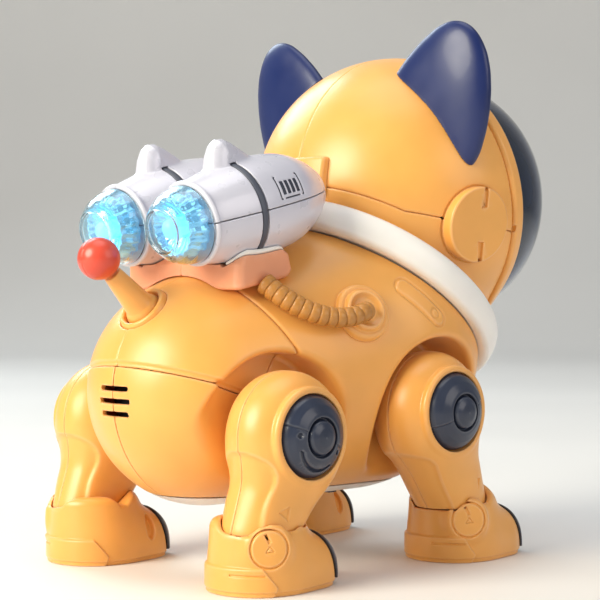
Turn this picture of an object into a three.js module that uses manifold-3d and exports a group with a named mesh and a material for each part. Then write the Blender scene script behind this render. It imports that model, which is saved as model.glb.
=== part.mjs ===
// Robot dog toy, assembled from separate plastic mouldings. Millimetres, +X nose, +Y left, +Z up, feet on z = 0.
import * as THREE from "three";
import { ConvexGeometry } from "three/addons/geometries/ConvexGeometry.js";
import { mergeVertices } from "three/addons/utils/BufferGeometryUtils.js";
import Module from "manifold-3d";

const wasm = await Module();
wasm.setup();

// ---- driving dimensions ------------------------------------------------------------------------------------------
const GAP = 0.3; // clearance left between neighbouring parts
const WALL = 2.2; // shell thickness

const RUMP = { at: [-54, 0, 67], r: 43 };
const CHEST = { at: [18, 0, 80], r: 56 };
const ARCH = { inner: 31, rear: [-54, 53.5, 28.5], front: [19, 58, 28] }; // x, z, radius of the wheel-arch recesses
const BELLY_Z = 29;
const RUMP_SEAM = [[-118, 84.5], [-56, 64.6], [-46, 81.8], [-60.5, 109], [-62, 135], [-118, 135]]; // x, z outline

const NECK = new THREE.Vector3(32.6, 0, 102.2); // centre of the collar
const NECK_TILT = THREE.MathUtils.degToRad(36); // neck axis leans this far forward of vertical
const COLLAR = { r: 53.7, halfWidth: 3.7, halfHeight: 5.7, deck: -2.7, deckThickness: 2.5, hole: 8.4 };

const HEAD = { at: [51.8, 0, 141.4], r: 57.2, jaw: 46.5, base: -1.5 };
const HEAD_SEAM = [[-30, 157], [-5.9, 145.4], [13, 134.1], [38, 129], [60, 127], [130, 125]]; // x, z line
const FACE = { at: [61.5, 0, 141], tilt: THREE.MathUtils.degToRad(12.8) };
const VISOR = { at: [61.5, 0, 140], tilt: THREE.MathUtils.degToRad(4), depth: 50, r: 51.6, wall: 1.8, power: 2.5 };
const EAR = { inner: [30.5, 20.5, 190], outer: [36.5, 54, 151], tip: [33, 50.4, 207], thickness: 12,
  // outline along and above the base line
  outline: [[3, -10], [0.8, 0], [0, 9], [0.2, 17], [1.5, 26], [4, 31.5], [8, 35.3], [13, 36.9], [18, 36.6],
    [24, 34.8], [30, 31.2], [36, 26], [41, 20.5], [45.5, 14.2], [49.5, 7], [51, 2], [50, -10]] };
const EAR_DISC = { at: [39, 56, 129], axis: [-0.14, 0.975, -0.15], r: 14.75 };

const TAIL = { at: [-81.5, 0, 96.2], ball: [-103, 0, 115.6], ballR: 7.6, seatR: 7 };

const POD = { y: 19, lensEnd: [-90.5, 124.9], rise: THREE.MathUtils.degToRad(13), length: 78, shell: 13.2 };
// radius of the pod at distances along its axis, from the lens end
const POD_PROFILE = [[0, 8.6], [3.5, 11.6], [8, 13.2], [13, 14.1], [22, 16.4], [32, 18], [42, 18.5], [52, 18.1],
  [60, 16.9], [67, 14.2], [72.5, 10.8], [76.3, 6.4], [78, 0]];
const POD_BAND = { from: 33.1, to: 35.9, depth: 0.9 };

const LEGS = {
  rear: { hub: [-58.9, 53.8], ankle: -72, foot: -63.6 },
  front: { hub: [17, 58.3], ankle: 32, foot: 40.6 },
};
const LEG = { y: 49, halfWidth: 14, thigh: 22.5, round: 13, knee: 18, shin: 13.6, cut: 23.5, hubCap: 14.7 };
const SHOE = { y: 46, halfLength: 25, halfWidth: 17, height: 20.5, cuff: 16.4, cuffTop: 26.5, tongue: 15.5 };
const AXLE = { r: 4, reach: 22.5 };

const HOSE = { r: 3.75, rib: 0.55, pitch: 4.2,
  path: [[-50.5, 31.5, 107], [-47.5, 39, 102], [-41.5, 45.5, 97], [-33, 50.5, 94.6], [-24.5, 53.2, 95.6],
    [-18.6, 51, 97]] };
const PORT = { at: [-16.8, 46.4, 95.7], r: 10.8 };
// side outline, half width and top of the saddle
const SADDLE = { y: 31, top: 121,
  outline: [[-64.9, 104.3], [-64.9, 113.4], [-61, 122], [-44.8, 122], [-39.1, 117.4], [-37.4, 111.5], [-40.5, 108.6]] };

const COLOURS = {
  body: [0xf2a640, 0.42, 0], apricot: [0xf0a878, 0.42, 0], white: [0xf1ece4, 0.4, 0], navy: [0x20283a, 0.38, 0],
  pod: [0xdcdce2, 0.32, 0.05], band: [0x3c404a, 0.4, 0], clear: [0xbfeaff, 0.06, 0], lamp: [0x9fdcff, 0.3, 0],
  visor: [0x141a2c, 0.08, 0.1], tail: [0xd8482c, 0.35, 0], hose: [0xb8762c, 0.5, 0], inner: [0x3a3d42, 0.55, 0],
  green: [0x1f5c3a, 0.5, 0], face: [0x2a3348, 0.35, 0], glow: [0x6fe0ff, 0.3, 0],
};

// ---- solids ------------------------------------------------------------------------------------------------------
const v3 = (a) => new THREE.Vector3(...a);

function toSolid(geometry) {
  geometry.deleteAttribute("normal");
  geometry.deleteAttribute("uv");
  const merged = mergeVertices(geometry, 1e-4);
  const p = merged.attributes.position.array;
  const t = merged.index.array;
  const keep = [];
  let volume = 0;
  for (let i = 0; i < t.length; i += 3) {
    const [a, b, c] = [t[i], t[i + 1], t[i + 2]];
    if (a === b || b === c || c === a) continue;
    keep.push(a, b, c);
    const at = (k) => new THREE.Vector3(p[3 * k], p[3 * k + 1], p[3 * k + 2]);
    volume += at(a).dot(at(b).cross(at(c)));
  }
  if (volume < 0) keep.reverse();
  return new wasm.Manifold(new wasm.Mesh({ numProp: 3, vertProperties: p, triVerts: new Uint32Array(keep) }));
}

// turns +Z of a shape to `axis` and carries its origin to `at`
function aim(geometry, at, axis) {
  const turn = new THREE.Quaternion().setFromUnitVectors(new THREE.Vector3(0, 0, 1), axis.clone().normalize());
  return geometry.applyQuaternion(turn).translate(at.x, at.y, at.z);
}

const Z = new THREE.Vector3(0, 0, 1);
const Y = new THREE.Vector3(0, 1, 0);

// body of revolution from [radius, height] points, about `axis` through `at`
function turned(points, at = new THREE.Vector3(), axis = Z, segments = 24) {
  const lathe = new THREE.LatheGeometry(points.map(([r, z]) => new THREE.Vector2(r, z)), segments);
  return toSolid(aim(lathe.rotateX(Math.PI / 2), at, axis));
}

const disc = (r, z0, z1, at, axis, segments = 24) => turned([[0, z0], [r, z0], [r, z1], [0, z1]], at, axis, segments);

const ring = (r0, r1, z0, z1, at, axis, segments = 24) =>
  turned([[r0, z0], [r1, z0], [r1, z1], [r0, z1], [r0, z0]], at, axis, segments);

function box(x0, x1, y0, y1, z0, z1) {
  const g = new THREE.BoxGeometry(x1 - x0, y1 - y0, z1 - z0);
  return toSolid(g.translate((x0 + x1) / 2, (y0 + y1) / 2, (z0 + z1) / 2));
}

// outline in the x-z plane, extruded between two y values
function slab(outline, y0, y1) {
  const shape = new THREE.Shape(outline.map(([x, z]) => new THREE.Vector2(x, z)));
  const g = new THREE.ExtrudeGeometry(shape, { depth: y1 - y0, bevelEnabled: false });
  return toSolid(g.rotateX(Math.PI / 2).translate(0, y1, 0));
}

// everything above height `d` along `axis` through `at`, within 200 mm
function halfSpace(at, axis, d) {
  return toSolid(aim(new THREE.BoxGeometry(400, 400, 200).translate(0, 0, 100 + d), at, axis));
}

// closed surface where `field` reaches `level`, seen from `centre`
function shaped(field, centre, level = 0, columns = 26, rows = 12, pole = Y) {
  const g = aim(new THREE.SphereGeometry(1, columns, rows).rotateX(Math.PI / 2), new THREE.Vector3(), pole);
  const p = g.attributes.position;
  const ray = new THREE.Vector3();
  for (let i = 0; i < p.count; i += 1) {
    ray.fromBufferAttribute(p, i).normalize();
    let [near, far] = [0, 160];
    for (let k = 0; k < 34; k += 1) {
      const mid = (near + far) / 2;
      if (field(centre.x + ray.x * mid, centre.y + ray.y * mid, centre.z + ray.z * mid) < level) near = mid;
      else far = mid;
    }
    p.setXYZ(i, centre.x + ray.x * near, centre.y + ray.y * near, centre.z + ray.z * near);
  }
  return toSolid(g);
}

const mirrored = (solid) => solid.mirror([0, 1, 0]);

// ---- distance fields ---------------------------------------------------------------------------------------------
const smoothMin = (a, b, k) => Math.min(a, b) - (Math.max(k - Math.abs(a - b), 0) ** 2) / (4 * k);

function roundCone(x, y, z, a, b, r1, r2) {
  const ba = [b[0] - a[0], b[1] - a[1], b[2] - a[2]];
  const pa = [x - a[0], y - a[1], z - a[2]];
  const l2 = ba[0] ** 2 + ba[1] ** 2 + ba[2] ** 2;
  const rr = r1 - r2;
  const a2 = l2 - rr * rr;
  const h = pa[0] * ba[0] + pa[1] * ba[1] + pa[2] * ba[2];
  const k = h - l2;
  const x2 = (pa[0] * l2 - ba[0] * h) ** 2 + (pa[1] * l2 - ba[1] * h) ** 2 + (pa[2] * l2 - ba[2] * h) ** 2;
  const side = Math.sign(rr) * rr * rr * x2;
  if (Math.sign(k) * a2 * k * k * l2 > side) return Math.sqrt(x2 + k * k * l2) / l2 - r2;
  if (Math.sign(h) * a2 * h * h * l2 < side) return Math.sqrt(x2 + h * h * l2) / l2 - r1;
  return (Math.sqrt((x2 * a2) / l2) + h * rr) / l2 - r1;
}

const neckAxis = new THREE.Vector3(Math.sin(NECK_TILT), 0, Math.cos(NECK_TILT));
const faceAxis = new THREE.Vector3(Math.cos(FACE.tilt), 0, Math.sin(FACE.tilt));
const faceAt = v3(FACE.at);

const torsoField = (x, y, z) => roundCone(x, y, z, RUMP.at, CHEST.at, RUMP.r, CHEST.r);

function headField(x, y, z) {
  const [dx, dz] = [x - NECK.x, z - NECK.z];
  const d = dx * neckAxis.x + dz * neckAxis.z;
  const across = Math.hypot(dx * neckAxis.z - dz * neckAxis.x, y) - (HEAD.jaw - 6);
  const along = Math.abs(d - 8) - 20;
  const jaw = Math.min(Math.max(across, along), 0) + Math.hypot(Math.max(across, 0), Math.max(along, 0)) - 6;
  return smoothMin(Math.hypot(x - HEAD.at[0], y, z - HEAD.at[2]) - HEAD.r, jaw, 4);
}

function legField(leg) {
  const [hx, hz] = leg.hub;
  return (x, y, z) => {
    const across = Math.hypot(x - hx, z - hz) - (LEG.thigh - LEG.round);
    const along = Math.abs(y - LEG.y) - (LEG.halfWidth - LEG.round);
    const thigh = Math.min(Math.max(across, along), 0)
      + Math.hypot(Math.max(across, 0), Math.max(along, 0)) - LEG.round;
    const shin = roundCone(x, y, z, [hx, LEG.y, hz - 7], [leg.ankle, LEG.y - 1, 20], LEG.knee, LEG.shin);
    return smoothMin(thigh, Math.max(shin, Math.abs(y - LEG.y) - LEG.halfWidth + 0.6), 7);
  };
}

function shoeField(leg) {
  return (x, y, z) => {
    const q = [x - leg.foot - 4, y - SHOE.y, z - 3];
    const s = [SHOE.halfLength - 4, SHOE.halfWidth, SHOE.height - 3];
    const n = q.reduce((sum, v, i) => sum + Math.abs(v / s[i]) ** 2.6, 0) ** (1 / 2.6);
    const toe = (n - 1) * s[1] * 0.9;
    const across = Math.hypot(x - leg.ankle - 2.2, y - SHOE.y) - (SHOE.cuff - 4);
    const along = Math.abs(z) - (SHOE.cuffTop - 4);
    const cuff = Math.min(Math.max(across, along), 0) + Math.hypot(Math.max(across, 0), Math.max(along, 0)) - 4;
    const tongue = Math.hypot((x - leg.ankle - 10) / 9, (y - SHOE.y) / 12, (z - 15) / SHOE.tongue) - 1;
    return smoothMin(smoothMin(toe, cuff, 8), tongue * 9, 3);
  };
}

// ---- assembly ----------------------------------------------------------------------------------------------------
const toy = new THREE.Group();
toy.name = "robot_dog_toy";

function add(name, solid, colour) {
  const mesh = solid.getMesh();
  const g = new THREE.BufferGeometry();
  g.setAttribute("position", new THREE.BufferAttribute(Float32Array.from(mesh.vertProperties), 3));
  g.setIndex(new THREE.BufferAttribute(Uint32Array.from(mesh.triVerts), 1));
  g.computeVertexNormals();
  const [color, roughness, metalness] = COLOURS[colour];
  const part = new THREE.Mesh(g, new THREE.MeshStandardMaterial({ color, roughness, metalness }));
  part.name = name;
  toy.add(part);
}

// the same part on the right (-Y) and, mirrored, on the left (+Y); `solid` is modelled on the left
function addPair(name, solid, colour) {
  add(`${name}_left`, solid, colour);
  add(`${name}_right`, mirrored(solid), colour);
}

const union = (...solids) => wasm.Manifold.union(solids);
const minus = (solid, ...cutters) => (cutters.length ? solid.subtract(wasm.Manifold.union(cutters)) : solid);

// torso shell, wall inset into the four wheel arches
const torsoCentre = new THREE.Vector3(-18, 0, 72);
const torsoWhole = shaped(torsoField, torsoCentre);
function arches(extra) {
  return [ARCH.rear, ARCH.front].flatMap(([x, z, r]) => [1, -1].map((side) =>
    disc(r + extra, ARCH.inner - extra, 80, new THREE.Vector3(x, 0, z), new THREE.Vector3(0, side, 0), 28)));
}
const hips = Object.values(LEGS).map(({ hub: [x, z] }) => new THREE.Vector3(x, 0, z));
const axleHoles = hips.map((at) => disc(AXLE.r + 0.4, -45, 45, at, Y, 12));
const belowCollar = halfSpace(NECK, neckAxis.clone().negate(), COLLAR.halfHeight + GAP);
const torsoShell = minus(
  minus(torsoWhole, ...arches(0)).intersect(belowCollar),
  minus(shaped(torsoField, torsoCentre, -WALL, 20, 10), ...arches(WALL)),
  ...axleHoles,
);

// lower rear vents, cut through the wall on both sides of the centre parting line
const vents = [[69.3, 7.4], [64.8, 8.4], [60.2, 7.4]]
  .map(([z, half]) => box(-110, -85, -half, half, z - 0.9, z + 0.9));

const grow = (outline, dx, dz) => outline.map(([x, z]) => [x + dx, z + dz]);
const rumpZone = slab(RUMP_SEAM, -60, 60);
const rumpZoneGrown = union(
  rumpZone,
  slab(grow(RUMP_SEAM, GAP * 1.4, 0), -60, 60),
  slab(grow(RUMP_SEAM, 0, -GAP), -60, 60),
);
const bellyZone = box(-130, 130, -70, 70, 0, BELLY_Z);
const centreGap = box(-130, 130, -GAP / 2, GAP / 2, 0, 200);

const tailAt = v3(TAIL.at);
const tailAxis = v3(TAIL.ball).sub(tailAt).normalize();

const flank = minus(torsoShell, rumpZoneGrown, bellyZone, centreGap, ...vents);
add("torso_shell_left", flank.intersect(box(-130, 130, 0, 70, 0, 200)), "body");
add("torso_shell_right", flank.intersect(box(-130, 130, -70, 0, 0, 200)), "body");
add("rump_cover", minus(torsoShell.intersect(rumpZone), disc(9.8, -14, 14, tailAt, tailAxis)), "body");
const socketProfile = [[7.5, -4], [9.5, -4], [9.5, 2.4], [8.8, 3.4], [7.9, 3.6], [7.5, 3], [7.5, -4]];
add("tail_socket", turned(socketProfile, tailAt, tailAxis, 20), "body");

const doorZone = (g) => box(-38 - g, -6 + g, -11 - g, 11 + g, 0, 60);
const belly = torsoShell.intersect(box(-130, 130, -70, 70, 0, BELLY_Z - GAP));
add("belly_pan", minus(belly, doorZone(GAP), box(8.2, 17.8, -2.6, 2.6, 0, 60)), "white");
add("battery_door", belly.intersect(doorZone(0)), "white");
add("power_switch", union(box(10.9, 15.1, -2.2, 2.2, 23, 27.6), box(9.2, 16.8, -4.2, 4.2, 27.6, 29.4)), "navy");

// neck collar with the deck the head turns on
const c = COLLAR;
const collarRim = Array.from({ length: 9 }, (_, i) => {
  const t = (-i / 8) * 2 * Math.PI;
  return [c.r - c.halfWidth * Math.cos(t), -c.halfHeight * Math.sin(t)];
});
collarRim[8] = collarRim[0].slice();
const collarDeck = ring(c.hole, c.r - 2, c.deck - c.deckThickness, c.deck, NECK, neckAxis, 36);
add("neck_collar", union(turned(collarRim, NECK, neckAxis, 36), collarDeck), "white");

// ---- head --------------------------------------------------------------------------------------------------------
const headCentre = new THREE.Vector3(50, 0, 138);
const headZone = (inset) => halfSpace(NECK, neckAxis, HEAD.base + inset);
const headSolid = shaped(headField, headCentre);
const headOpening = halfSpace(faceAt, faceAxis, -4);
const headShell = minus(
  headSolid.intersect(headZone(0)),
  shaped(headField, headCentre, -WALL, 20, 10).intersect(headZone(WALL)),
  headOpening,
  disc(COLLAR.hole, -10, 12, NECK, neckAxis, 20),
);
const seamOver = [...grow(HEAD_SEAM, 0, GAP / 2), [130, 260], [-30, 260]];
const seamUnder = [...grow(HEAD_SEAM, 0, -GAP / 2), [130, 0], [-30, 0]];
const headGrown = shaped(headField, headCentre, GAP);

add("head_shell_upper", headShell.intersect(slab(seamOver, -80, 80)), "body");
add("head_shell_lower", headShell.intersect(slab(seamUnder, -80, 80)), "body");
add("head_latch", minus(shaped(headField, headCentre, 3.2).intersect(box(-20, 12, -18, 18, 141.5, 155.5)),
  headGrown), "body");
const pivotProfile = [[0, -8], [11, -8], [11, -5.8], [8, -5.5], [8, 1.2], [12.5, 1.2], [12.5, 3.6], [0, 3.6]];
add("neck_pivot", turned(pivotProfile, NECK, neckAxis, 20), "inner");
const faceSlab = (back, front) => halfSpace(faceAt, faceAxis, back)
  .intersect(halfSpace(faceAt, faceAxis.clone().negate(), -front));

// bubble of the visor: a round superellipsoid about an axis of its own
const visorAt = v3(VISOR.at);
const visorAxis = new THREE.Vector3(Math.cos(VISOR.tilt), 0, Math.sin(VISOR.tilt));
function visorField(x, y, z) {
  const q = new THREE.Vector3(x, y, z).sub(visorAt);
  const along = q.dot(visorAxis);
  const across = Math.sqrt(Math.max(q.lengthSq() - along * along, 0));
  const n = (Math.abs(along) / VISOR.depth) ** VISOR.power + (across / VISOR.r) ** VISOR.power;
  return (n ** (1 / VISOR.power) - 1) * VISOR.depth;
}
const visorZone = (inset) => halfSpace(faceAt, faceAxis, inset);
const visorGrown = shaped(visorField, visorAt, GAP, 28, 14).intersect(visorZone(-0.9));
add("face_bezel", minus(shaped(headField, headCentre, 1.2), shaped(headField, headCentre, -4.6), visorGrown)
  .intersect(faceSlab(-3.7, 3.4)), "body");
add("visor", minus(shaped(visorField, visorAt, 0, 28, 14), shaped(visorField, visorAt, -VISOR.wall, 28, 14))
  .intersect(visorZone(-0.6)), "visor");

const faceFrame = (u, v, w) => faceAt.clone().addScaledVector(faceAxis, w).add(new THREE.Vector3(0, u, 0))
  .addScaledVector(new THREE.Vector3(-faceAxis.z, 0, faceAxis.x), v);
const muzzle = toSolid(new THREE.SphereGeometry(1, 16, 10).scale(24, 25, 17).rotateY(-FACE.tilt)
  .translate(...faceFrame(0, -17, -2).toArray()));
add("face_plate", union(shaped(headField, headCentre, -4.9).intersect(faceSlab(-3.4, -1)),
  muzzle.intersect(halfSpace(faceAt, faceAxis, -3))), "face");
const eyeProfile = [[0, -0.6], [11.5, -0.6], [11.5, 2], [9.6, 6], [5.5, 8.6], [0, 9.6]];
const eye = turned(eyeProfile, faceFrame(19, 13, 0), faceAxis, 16);
addPair("eye", eye, "glow");

// ears: a bevelled fin standing on the skull
const earBase = v3(EAR.outer).sub(v3(EAR.inner));
const earU = earBase.clone().normalize();
const earNormal = new THREE.Vector3().crossVectors(earBase, v3(EAR.tip).sub(v3(EAR.inner))).normalize();
const earW = new THREE.Vector3().crossVectors(earNormal, earU);
const earPoints = [[-EAR.thickness / 2, 0.74], [-EAR.thickness / 5, 0.95], [0, 1], [EAR.thickness / 5, 0.95],
  [EAR.thickness / 2, 0.74]].flatMap(([n, k]) => EAR.outline.map(([u, w]) => v3(EAR.inner)
    .addScaledVector(earU, 26 + (u - 26) * k).addScaledVector(earW, 8 + (w - 8) * k).addScaledVector(earNormal, n)));
addPair("ear", minus(toSolid(new ConvexGeometry(earPoints)), headGrown), "navy");

const earDisc = turned([[0, -12], [EAR_DISC.r, -12], [EAR_DISC.r, -1.2], [EAR_DISC.r - 1.2, 0], [0, 0]],
  v3(EAR_DISC.at), v3(EAR_DISC.axis));
addPair("ear_disc", minus(earDisc, headGrown), "body");

// ---- tail --------------------------------------------------------------------------------------------------------
const tailLength = v3(TAIL.ball).distanceTo(tailAt);
const i0 = (r) => (r < 1e-6 ? 0 : r);
const seat = Array.from({ length: 7 }, (_, i) => (-90 + i * 21) * (Math.PI / 180))
  .map((t) => [i0(TAIL.seatR * Math.cos(t)), TAIL.seatR * Math.sin(t)]);
seat[0][0] = 0;
const stalkTop = tailLength - TAIL.ballR - 0.2;
add("tail_stalk", turned([...seat, [5, 6.4], [3.2, stalkTop], [0, stalkTop]], tailAt, tailAxis, 16), "body");
add("tail_ball", toSolid(new THREE.SphereGeometry(TAIL.ballR - 0.1, 14, 9).translate(...TAIL.ball)), "tail");

// ---- rocket pods -------------------------------------------------------------------------------------------------
const podAxis = new THREE.Vector3(Math.cos(POD.rise), 0, Math.sin(POD.rise));
const podAt = new THREE.Vector3(POD.lensEnd[0], POD.y, POD.lensEnd[1]);
const podPoints = (from, inset) => POD_PROFILE.filter(([s, r]) => s > from && r > inset)
  .map(([s, r]) => [r - inset, s]);
const podRadius = (s) => {
  const k = POD_PROFILE.findIndex(([t]) => t >= s);
  const [[s0, r0], [s1, r1]] = [POD_PROFILE[k - 1], POD_PROFILE[k]];
  return r0 + ((r1 - r0) * (s - s0)) / (s1 - s0);
};
const podBody = (inset, from, to) => turned(
  [[0, from], [podRadius(from) - inset, from], ...podPoints(from, inset), [0, to]], podAt, podAxis, 18);
const b = POD_BAND;
const bandRadius = podRadius(b.from);
const bandRing = (r0, r1, g) => ring(bandRadius - r0, bandRadius + r1, b.from - g, b.to + g, podAt, podAxis, 18);
const finOutline = [[-68.5, 138], [-68.5, 155], [-66.6, 157.8], [-63.4, 158.6], [-58.7, 157.9], [-53, 155.8],
  [-45, 151.5], [-45, 138]];
const fin = slab(finOutline, -3, 3).translate(0, POD.y, 0);
const podOuter = podBody(0, POD.shell, POD.length);
const podHollow = podBody(1.8, POD.shell + 2, POD.length - 1.8);
const podShell = minus(union(podOuter, fin), podHollow, bandRing(b.depth + GAP, 3, GAP));
const podHalf = (solid, upper) => {
  const up = new THREE.Vector3(-podAxis.z, 0, podAxis.x);
  return solid.intersect(halfSpace(podAt, upper ? up : up.negate(), GAP / 2));
};
addPair("pod_upper", podHalf(podShell, true), "pod");
addPair("pod_lower", podHalf(podShell, false), "pod");
addPair("pod_band", bandRing(b.depth - 0.1, 0.35, 0), "band");

const lensOuter = [[8.6, 0], [11.6, 3.5], [13.2, 8], [14, POD.shell - GAP]];
const lensInner = lensOuter.map(([r, s]) => [r - 1.5, s === 0 ? 1.6 : s]).reverse();
addPair("nozzle_lens", turned([[0, 0], ...lensOuter, ...lensInner, [0, 1.6]], podAt, podAxis, 18), "clear");
addPair("nozzle_lamp", turned([[0, 2.6], [4.4, 3.2], [6.2, 5], [6.6, 7], [6.6, 10], [9, 10.6], [9, POD.shell - GAP],
  [0, POD.shell - GAP]], podAt, podAxis, 16), "lamp");

// saddle shaped to the back below and to both pods above
const s = SADDLE;
const podClear = podBody(-0.7, 3, POD.length);
const saddleBlock = slab(s.outline, -s.y, s.y);
add("pack_saddle", minus(saddleBlock, shaped(torsoField, torsoCentre, GAP), podClear, mirrored(podClear),
  halfSpace(new THREE.Vector3(0, 0, s.top), Z, 0)), "apricot");

// ---- side hoses --------------------------------------------------------------------------------------------------
const hoseCurve = new THREE.CatmullRomCurve3(HOSE.path.map(v3));
const hoseLength = hoseCurve.getLength();
const ribs = Math.floor(hoseLength / HOSE.pitch);
function hoseSolid() {
  const sides = 7;
  const steps = ribs * 2;
  const frames = hoseCurve.computeFrenetFrames(steps, false);
  const p = [];
  const t = [];
  for (let i = 0; i <= steps; i += 1) {
    const at = hoseCurve.getPointAt(i / steps);
    const r = i % 2 ? HOSE.r : HOSE.r - HOSE.rib;
    for (let k = 0; k < sides; k += 1) {
      const a = (k / sides) * 2 * Math.PI;
      const q = at.clone()
        .addScaledVector(frames.normals[i], r * Math.cos(a))
        .addScaledVector(frames.binormals[i], r * Math.sin(a));
      p.push(q.x, q.y, q.z);
    }
  }
  for (let i = 0; i < steps; i += 1) {
    for (let k = 0; k < sides; k += 1) {
      const [a, d] = [i * sides + k, i * sides + ((k + 1) % sides)];
      t.push(a, d, a + sides, d, d + sides, a + sides);
    }
  }
  for (let k = 1; k < sides - 1; k += 1) {
    t.push(0, k + 1, k);
    t.push(steps * sides, steps * sides + k, steps * sides + k + 1);
  }
  const g = new THREE.BufferGeometry();
  g.setAttribute("position", new THREE.Float32BufferAttribute(p, 3));
  g.setIndex(t);
  return toSolid(g);
}
const hosePort = v3(PORT.at);
const portAxis = new THREE.Vector3(-0.249, 0.892, 0.378);
const torsoGrown = shaped(torsoField, torsoCentre, GAP);
const portProfile = [[0, -3], [PORT.r, -3], [PORT.r, 1.2], [PORT.r - 1, 2.1], [8.2, 2.1], [7.8, 4], [6.2, 4.8],
  [0, 4.8]];
const port = minus(turned(portProfile, hosePort, portAxis), torsoGrown);
const hose = minus(hoseSolid(), torsoGrown, turned([[0, -8], [PORT.r + GAP, -8], [PORT.r + GAP, 2.4], [8.5, 2.4],
  [8.1, 4.3], [6.4, 5.1], [0, 5.1]], hosePort, portAxis), box(-70, -20, -s.y - GAP, s.y + GAP, 90, 130));
addPair("hose_port", port, "body");
addPair("pack_hose", hose, "hose");

// ---- legs --------------------------------------------------------------------------------------------------------
for (const [place, leg] of Object.entries(LEGS)) {
  const [hx, hz] = leg.hub;
  const hub = new THREE.Vector3(hx, 0, hz);
  const centre = new THREE.Vector3(hx, LEG.y, hz - 8);
  const outerFace = LEG.y + LEG.halfWidth;
  const above = halfSpace(new THREE.Vector3(0, 0, LEG.cut), Z, 0);
  const solid = shaped(legField(leg), centre, 0, 18, 10).intersect(above);
  const hollow = shaped(legField(leg), centre, -WALL, 10, 6)
    .intersect(halfSpace(new THREE.Vector3(0, 0, LEG.cut + WALL), Z, 0));
  const boss = disc(6.5, outerFace - 2 * LEG.halfWidth, outerFace - 1, hub, Y, 12);
  const floor = disc(LEG.hubCap + 1.8, outerFace - 6, outerFace - 1, hub, Y, 16);
  const peg = (r, top) => disc(r, 10, top, new THREE.Vector3(leg.ankle, SHOE.y + 1.5, 0), Z, 12);
  const wall = union(minus(solid, hollow), boss.intersect(solid), floor.intersect(solid));
  const body = minus(wall, disc(LEG.hubCap + GAP, outerFace - 3, 80, hub, Y, 16), peg(4.6, 40));
  const outer = body.intersect(box(-130, 130, LEG.y + GAP / 2, 80, 0, 120));
  const axle = disc(AXLE.r, AXLE.reach, LEG.y - 8, hub, Y, 12);
  const inner = union(body.intersect(box(-130, 130, 0, LEG.y - GAP / 2, 0, 120)), axle);
  const capProfile = [[0, -2.7], [LEG.hubCap, -2.7], [LEG.hubCap, 0.4], [13.2, 1.6], [7.3, 2.6], [6.9, 2], [6.3, 2],
    [5.6, 3.4], [0, 4]];
  const cap = turned(capProfile, new THREE.Vector3(hx, outerFace, hz), Y, 18);
  const sole = halfSpace(new THREE.Vector3(), Z, 0);
  const socket = shaped(legField(leg), centre, GAP + 0.1, 18, 10)
    .intersect(halfSpace(new THREE.Vector3(0, 0, LEG.cut - GAP), Z, 0));
  const shoe = union(minus(shaped(shoeField(leg), new THREE.Vector3(leg.foot - 6, SHOE.y, 6), 0, 20, 12, Z)
    .intersect(sole), socket), peg(4, LEG.cut + 5));
  addPair(`leg_outer_${place}`, outer, "body");
  addPair(`leg_inner_${place}`, inner, "body");
  addPair(`hub_cap_${place}`, cap, "navy");
  addPair(`shoe_${place}`, shoe, "body");
}

// ---- drive and electrics -----------------------------------------------------------------------------------------
const gearbox = union(box(-70, 28, -20, 20, 47, 65), ...hips.map((at) => disc(8.5, -27.4, 27.4, at, Y, 12)));
add("drive_gearbox", minus(gearbox, ...hips.flatMap((at) => [1, -1].map((side) =>
  disc(AXLE.r + 0.4, AXLE.reach - 1, 40, at, new THREE.Vector3(0, side, 0), 12)))), "inner");
add("battery_pack", box(-44, 0, -17, 17, 30.5, 45.5), "inner");
add("circuit_board", box(-40, 22, -22, 22, 70, 71.6), "green");
add("speaker", turned([[0, 0], [6, 0], [6, 4], [13, 9], [13, 11], [0, 11]], new THREE.Vector3(-75, 0, 66),
  new THREE.Vector3(-1, 0, 0), 24), "inner");

export default toy;
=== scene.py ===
import math

import bpy
import numpy as np
from mathutils import Matrix, Vector


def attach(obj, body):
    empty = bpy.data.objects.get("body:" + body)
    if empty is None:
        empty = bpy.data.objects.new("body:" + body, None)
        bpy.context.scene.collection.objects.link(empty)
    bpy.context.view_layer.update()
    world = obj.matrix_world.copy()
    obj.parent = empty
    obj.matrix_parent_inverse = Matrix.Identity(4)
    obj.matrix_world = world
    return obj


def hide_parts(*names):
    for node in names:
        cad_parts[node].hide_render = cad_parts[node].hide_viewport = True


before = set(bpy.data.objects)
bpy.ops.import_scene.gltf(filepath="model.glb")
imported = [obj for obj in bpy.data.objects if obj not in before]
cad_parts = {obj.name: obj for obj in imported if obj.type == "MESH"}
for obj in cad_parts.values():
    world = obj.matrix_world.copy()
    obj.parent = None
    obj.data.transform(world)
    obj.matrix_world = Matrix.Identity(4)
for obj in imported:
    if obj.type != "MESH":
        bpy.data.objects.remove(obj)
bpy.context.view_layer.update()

# ------------------------------------------------------------------------------------------------ camera
HEADING, PITCH = 44.5, -0.955
cam_data = bpy.data.cameras.new("camera")
cam_data.lens, cam_data.sensor_width = 108.0, 36.0
cam_data.clip_end = 20.0
camera = bpy.data.objects.new("camera", cam_data)
bpy.context.scene.collection.objects.link(camera)
camera.location = (-0.4986, -0.5041, 0.1116)
camera.rotation_euler = (math.radians(90.0 + PITCH), 0.0, math.radians(-HEADING))
bpy.context.scene.camera = camera

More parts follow.
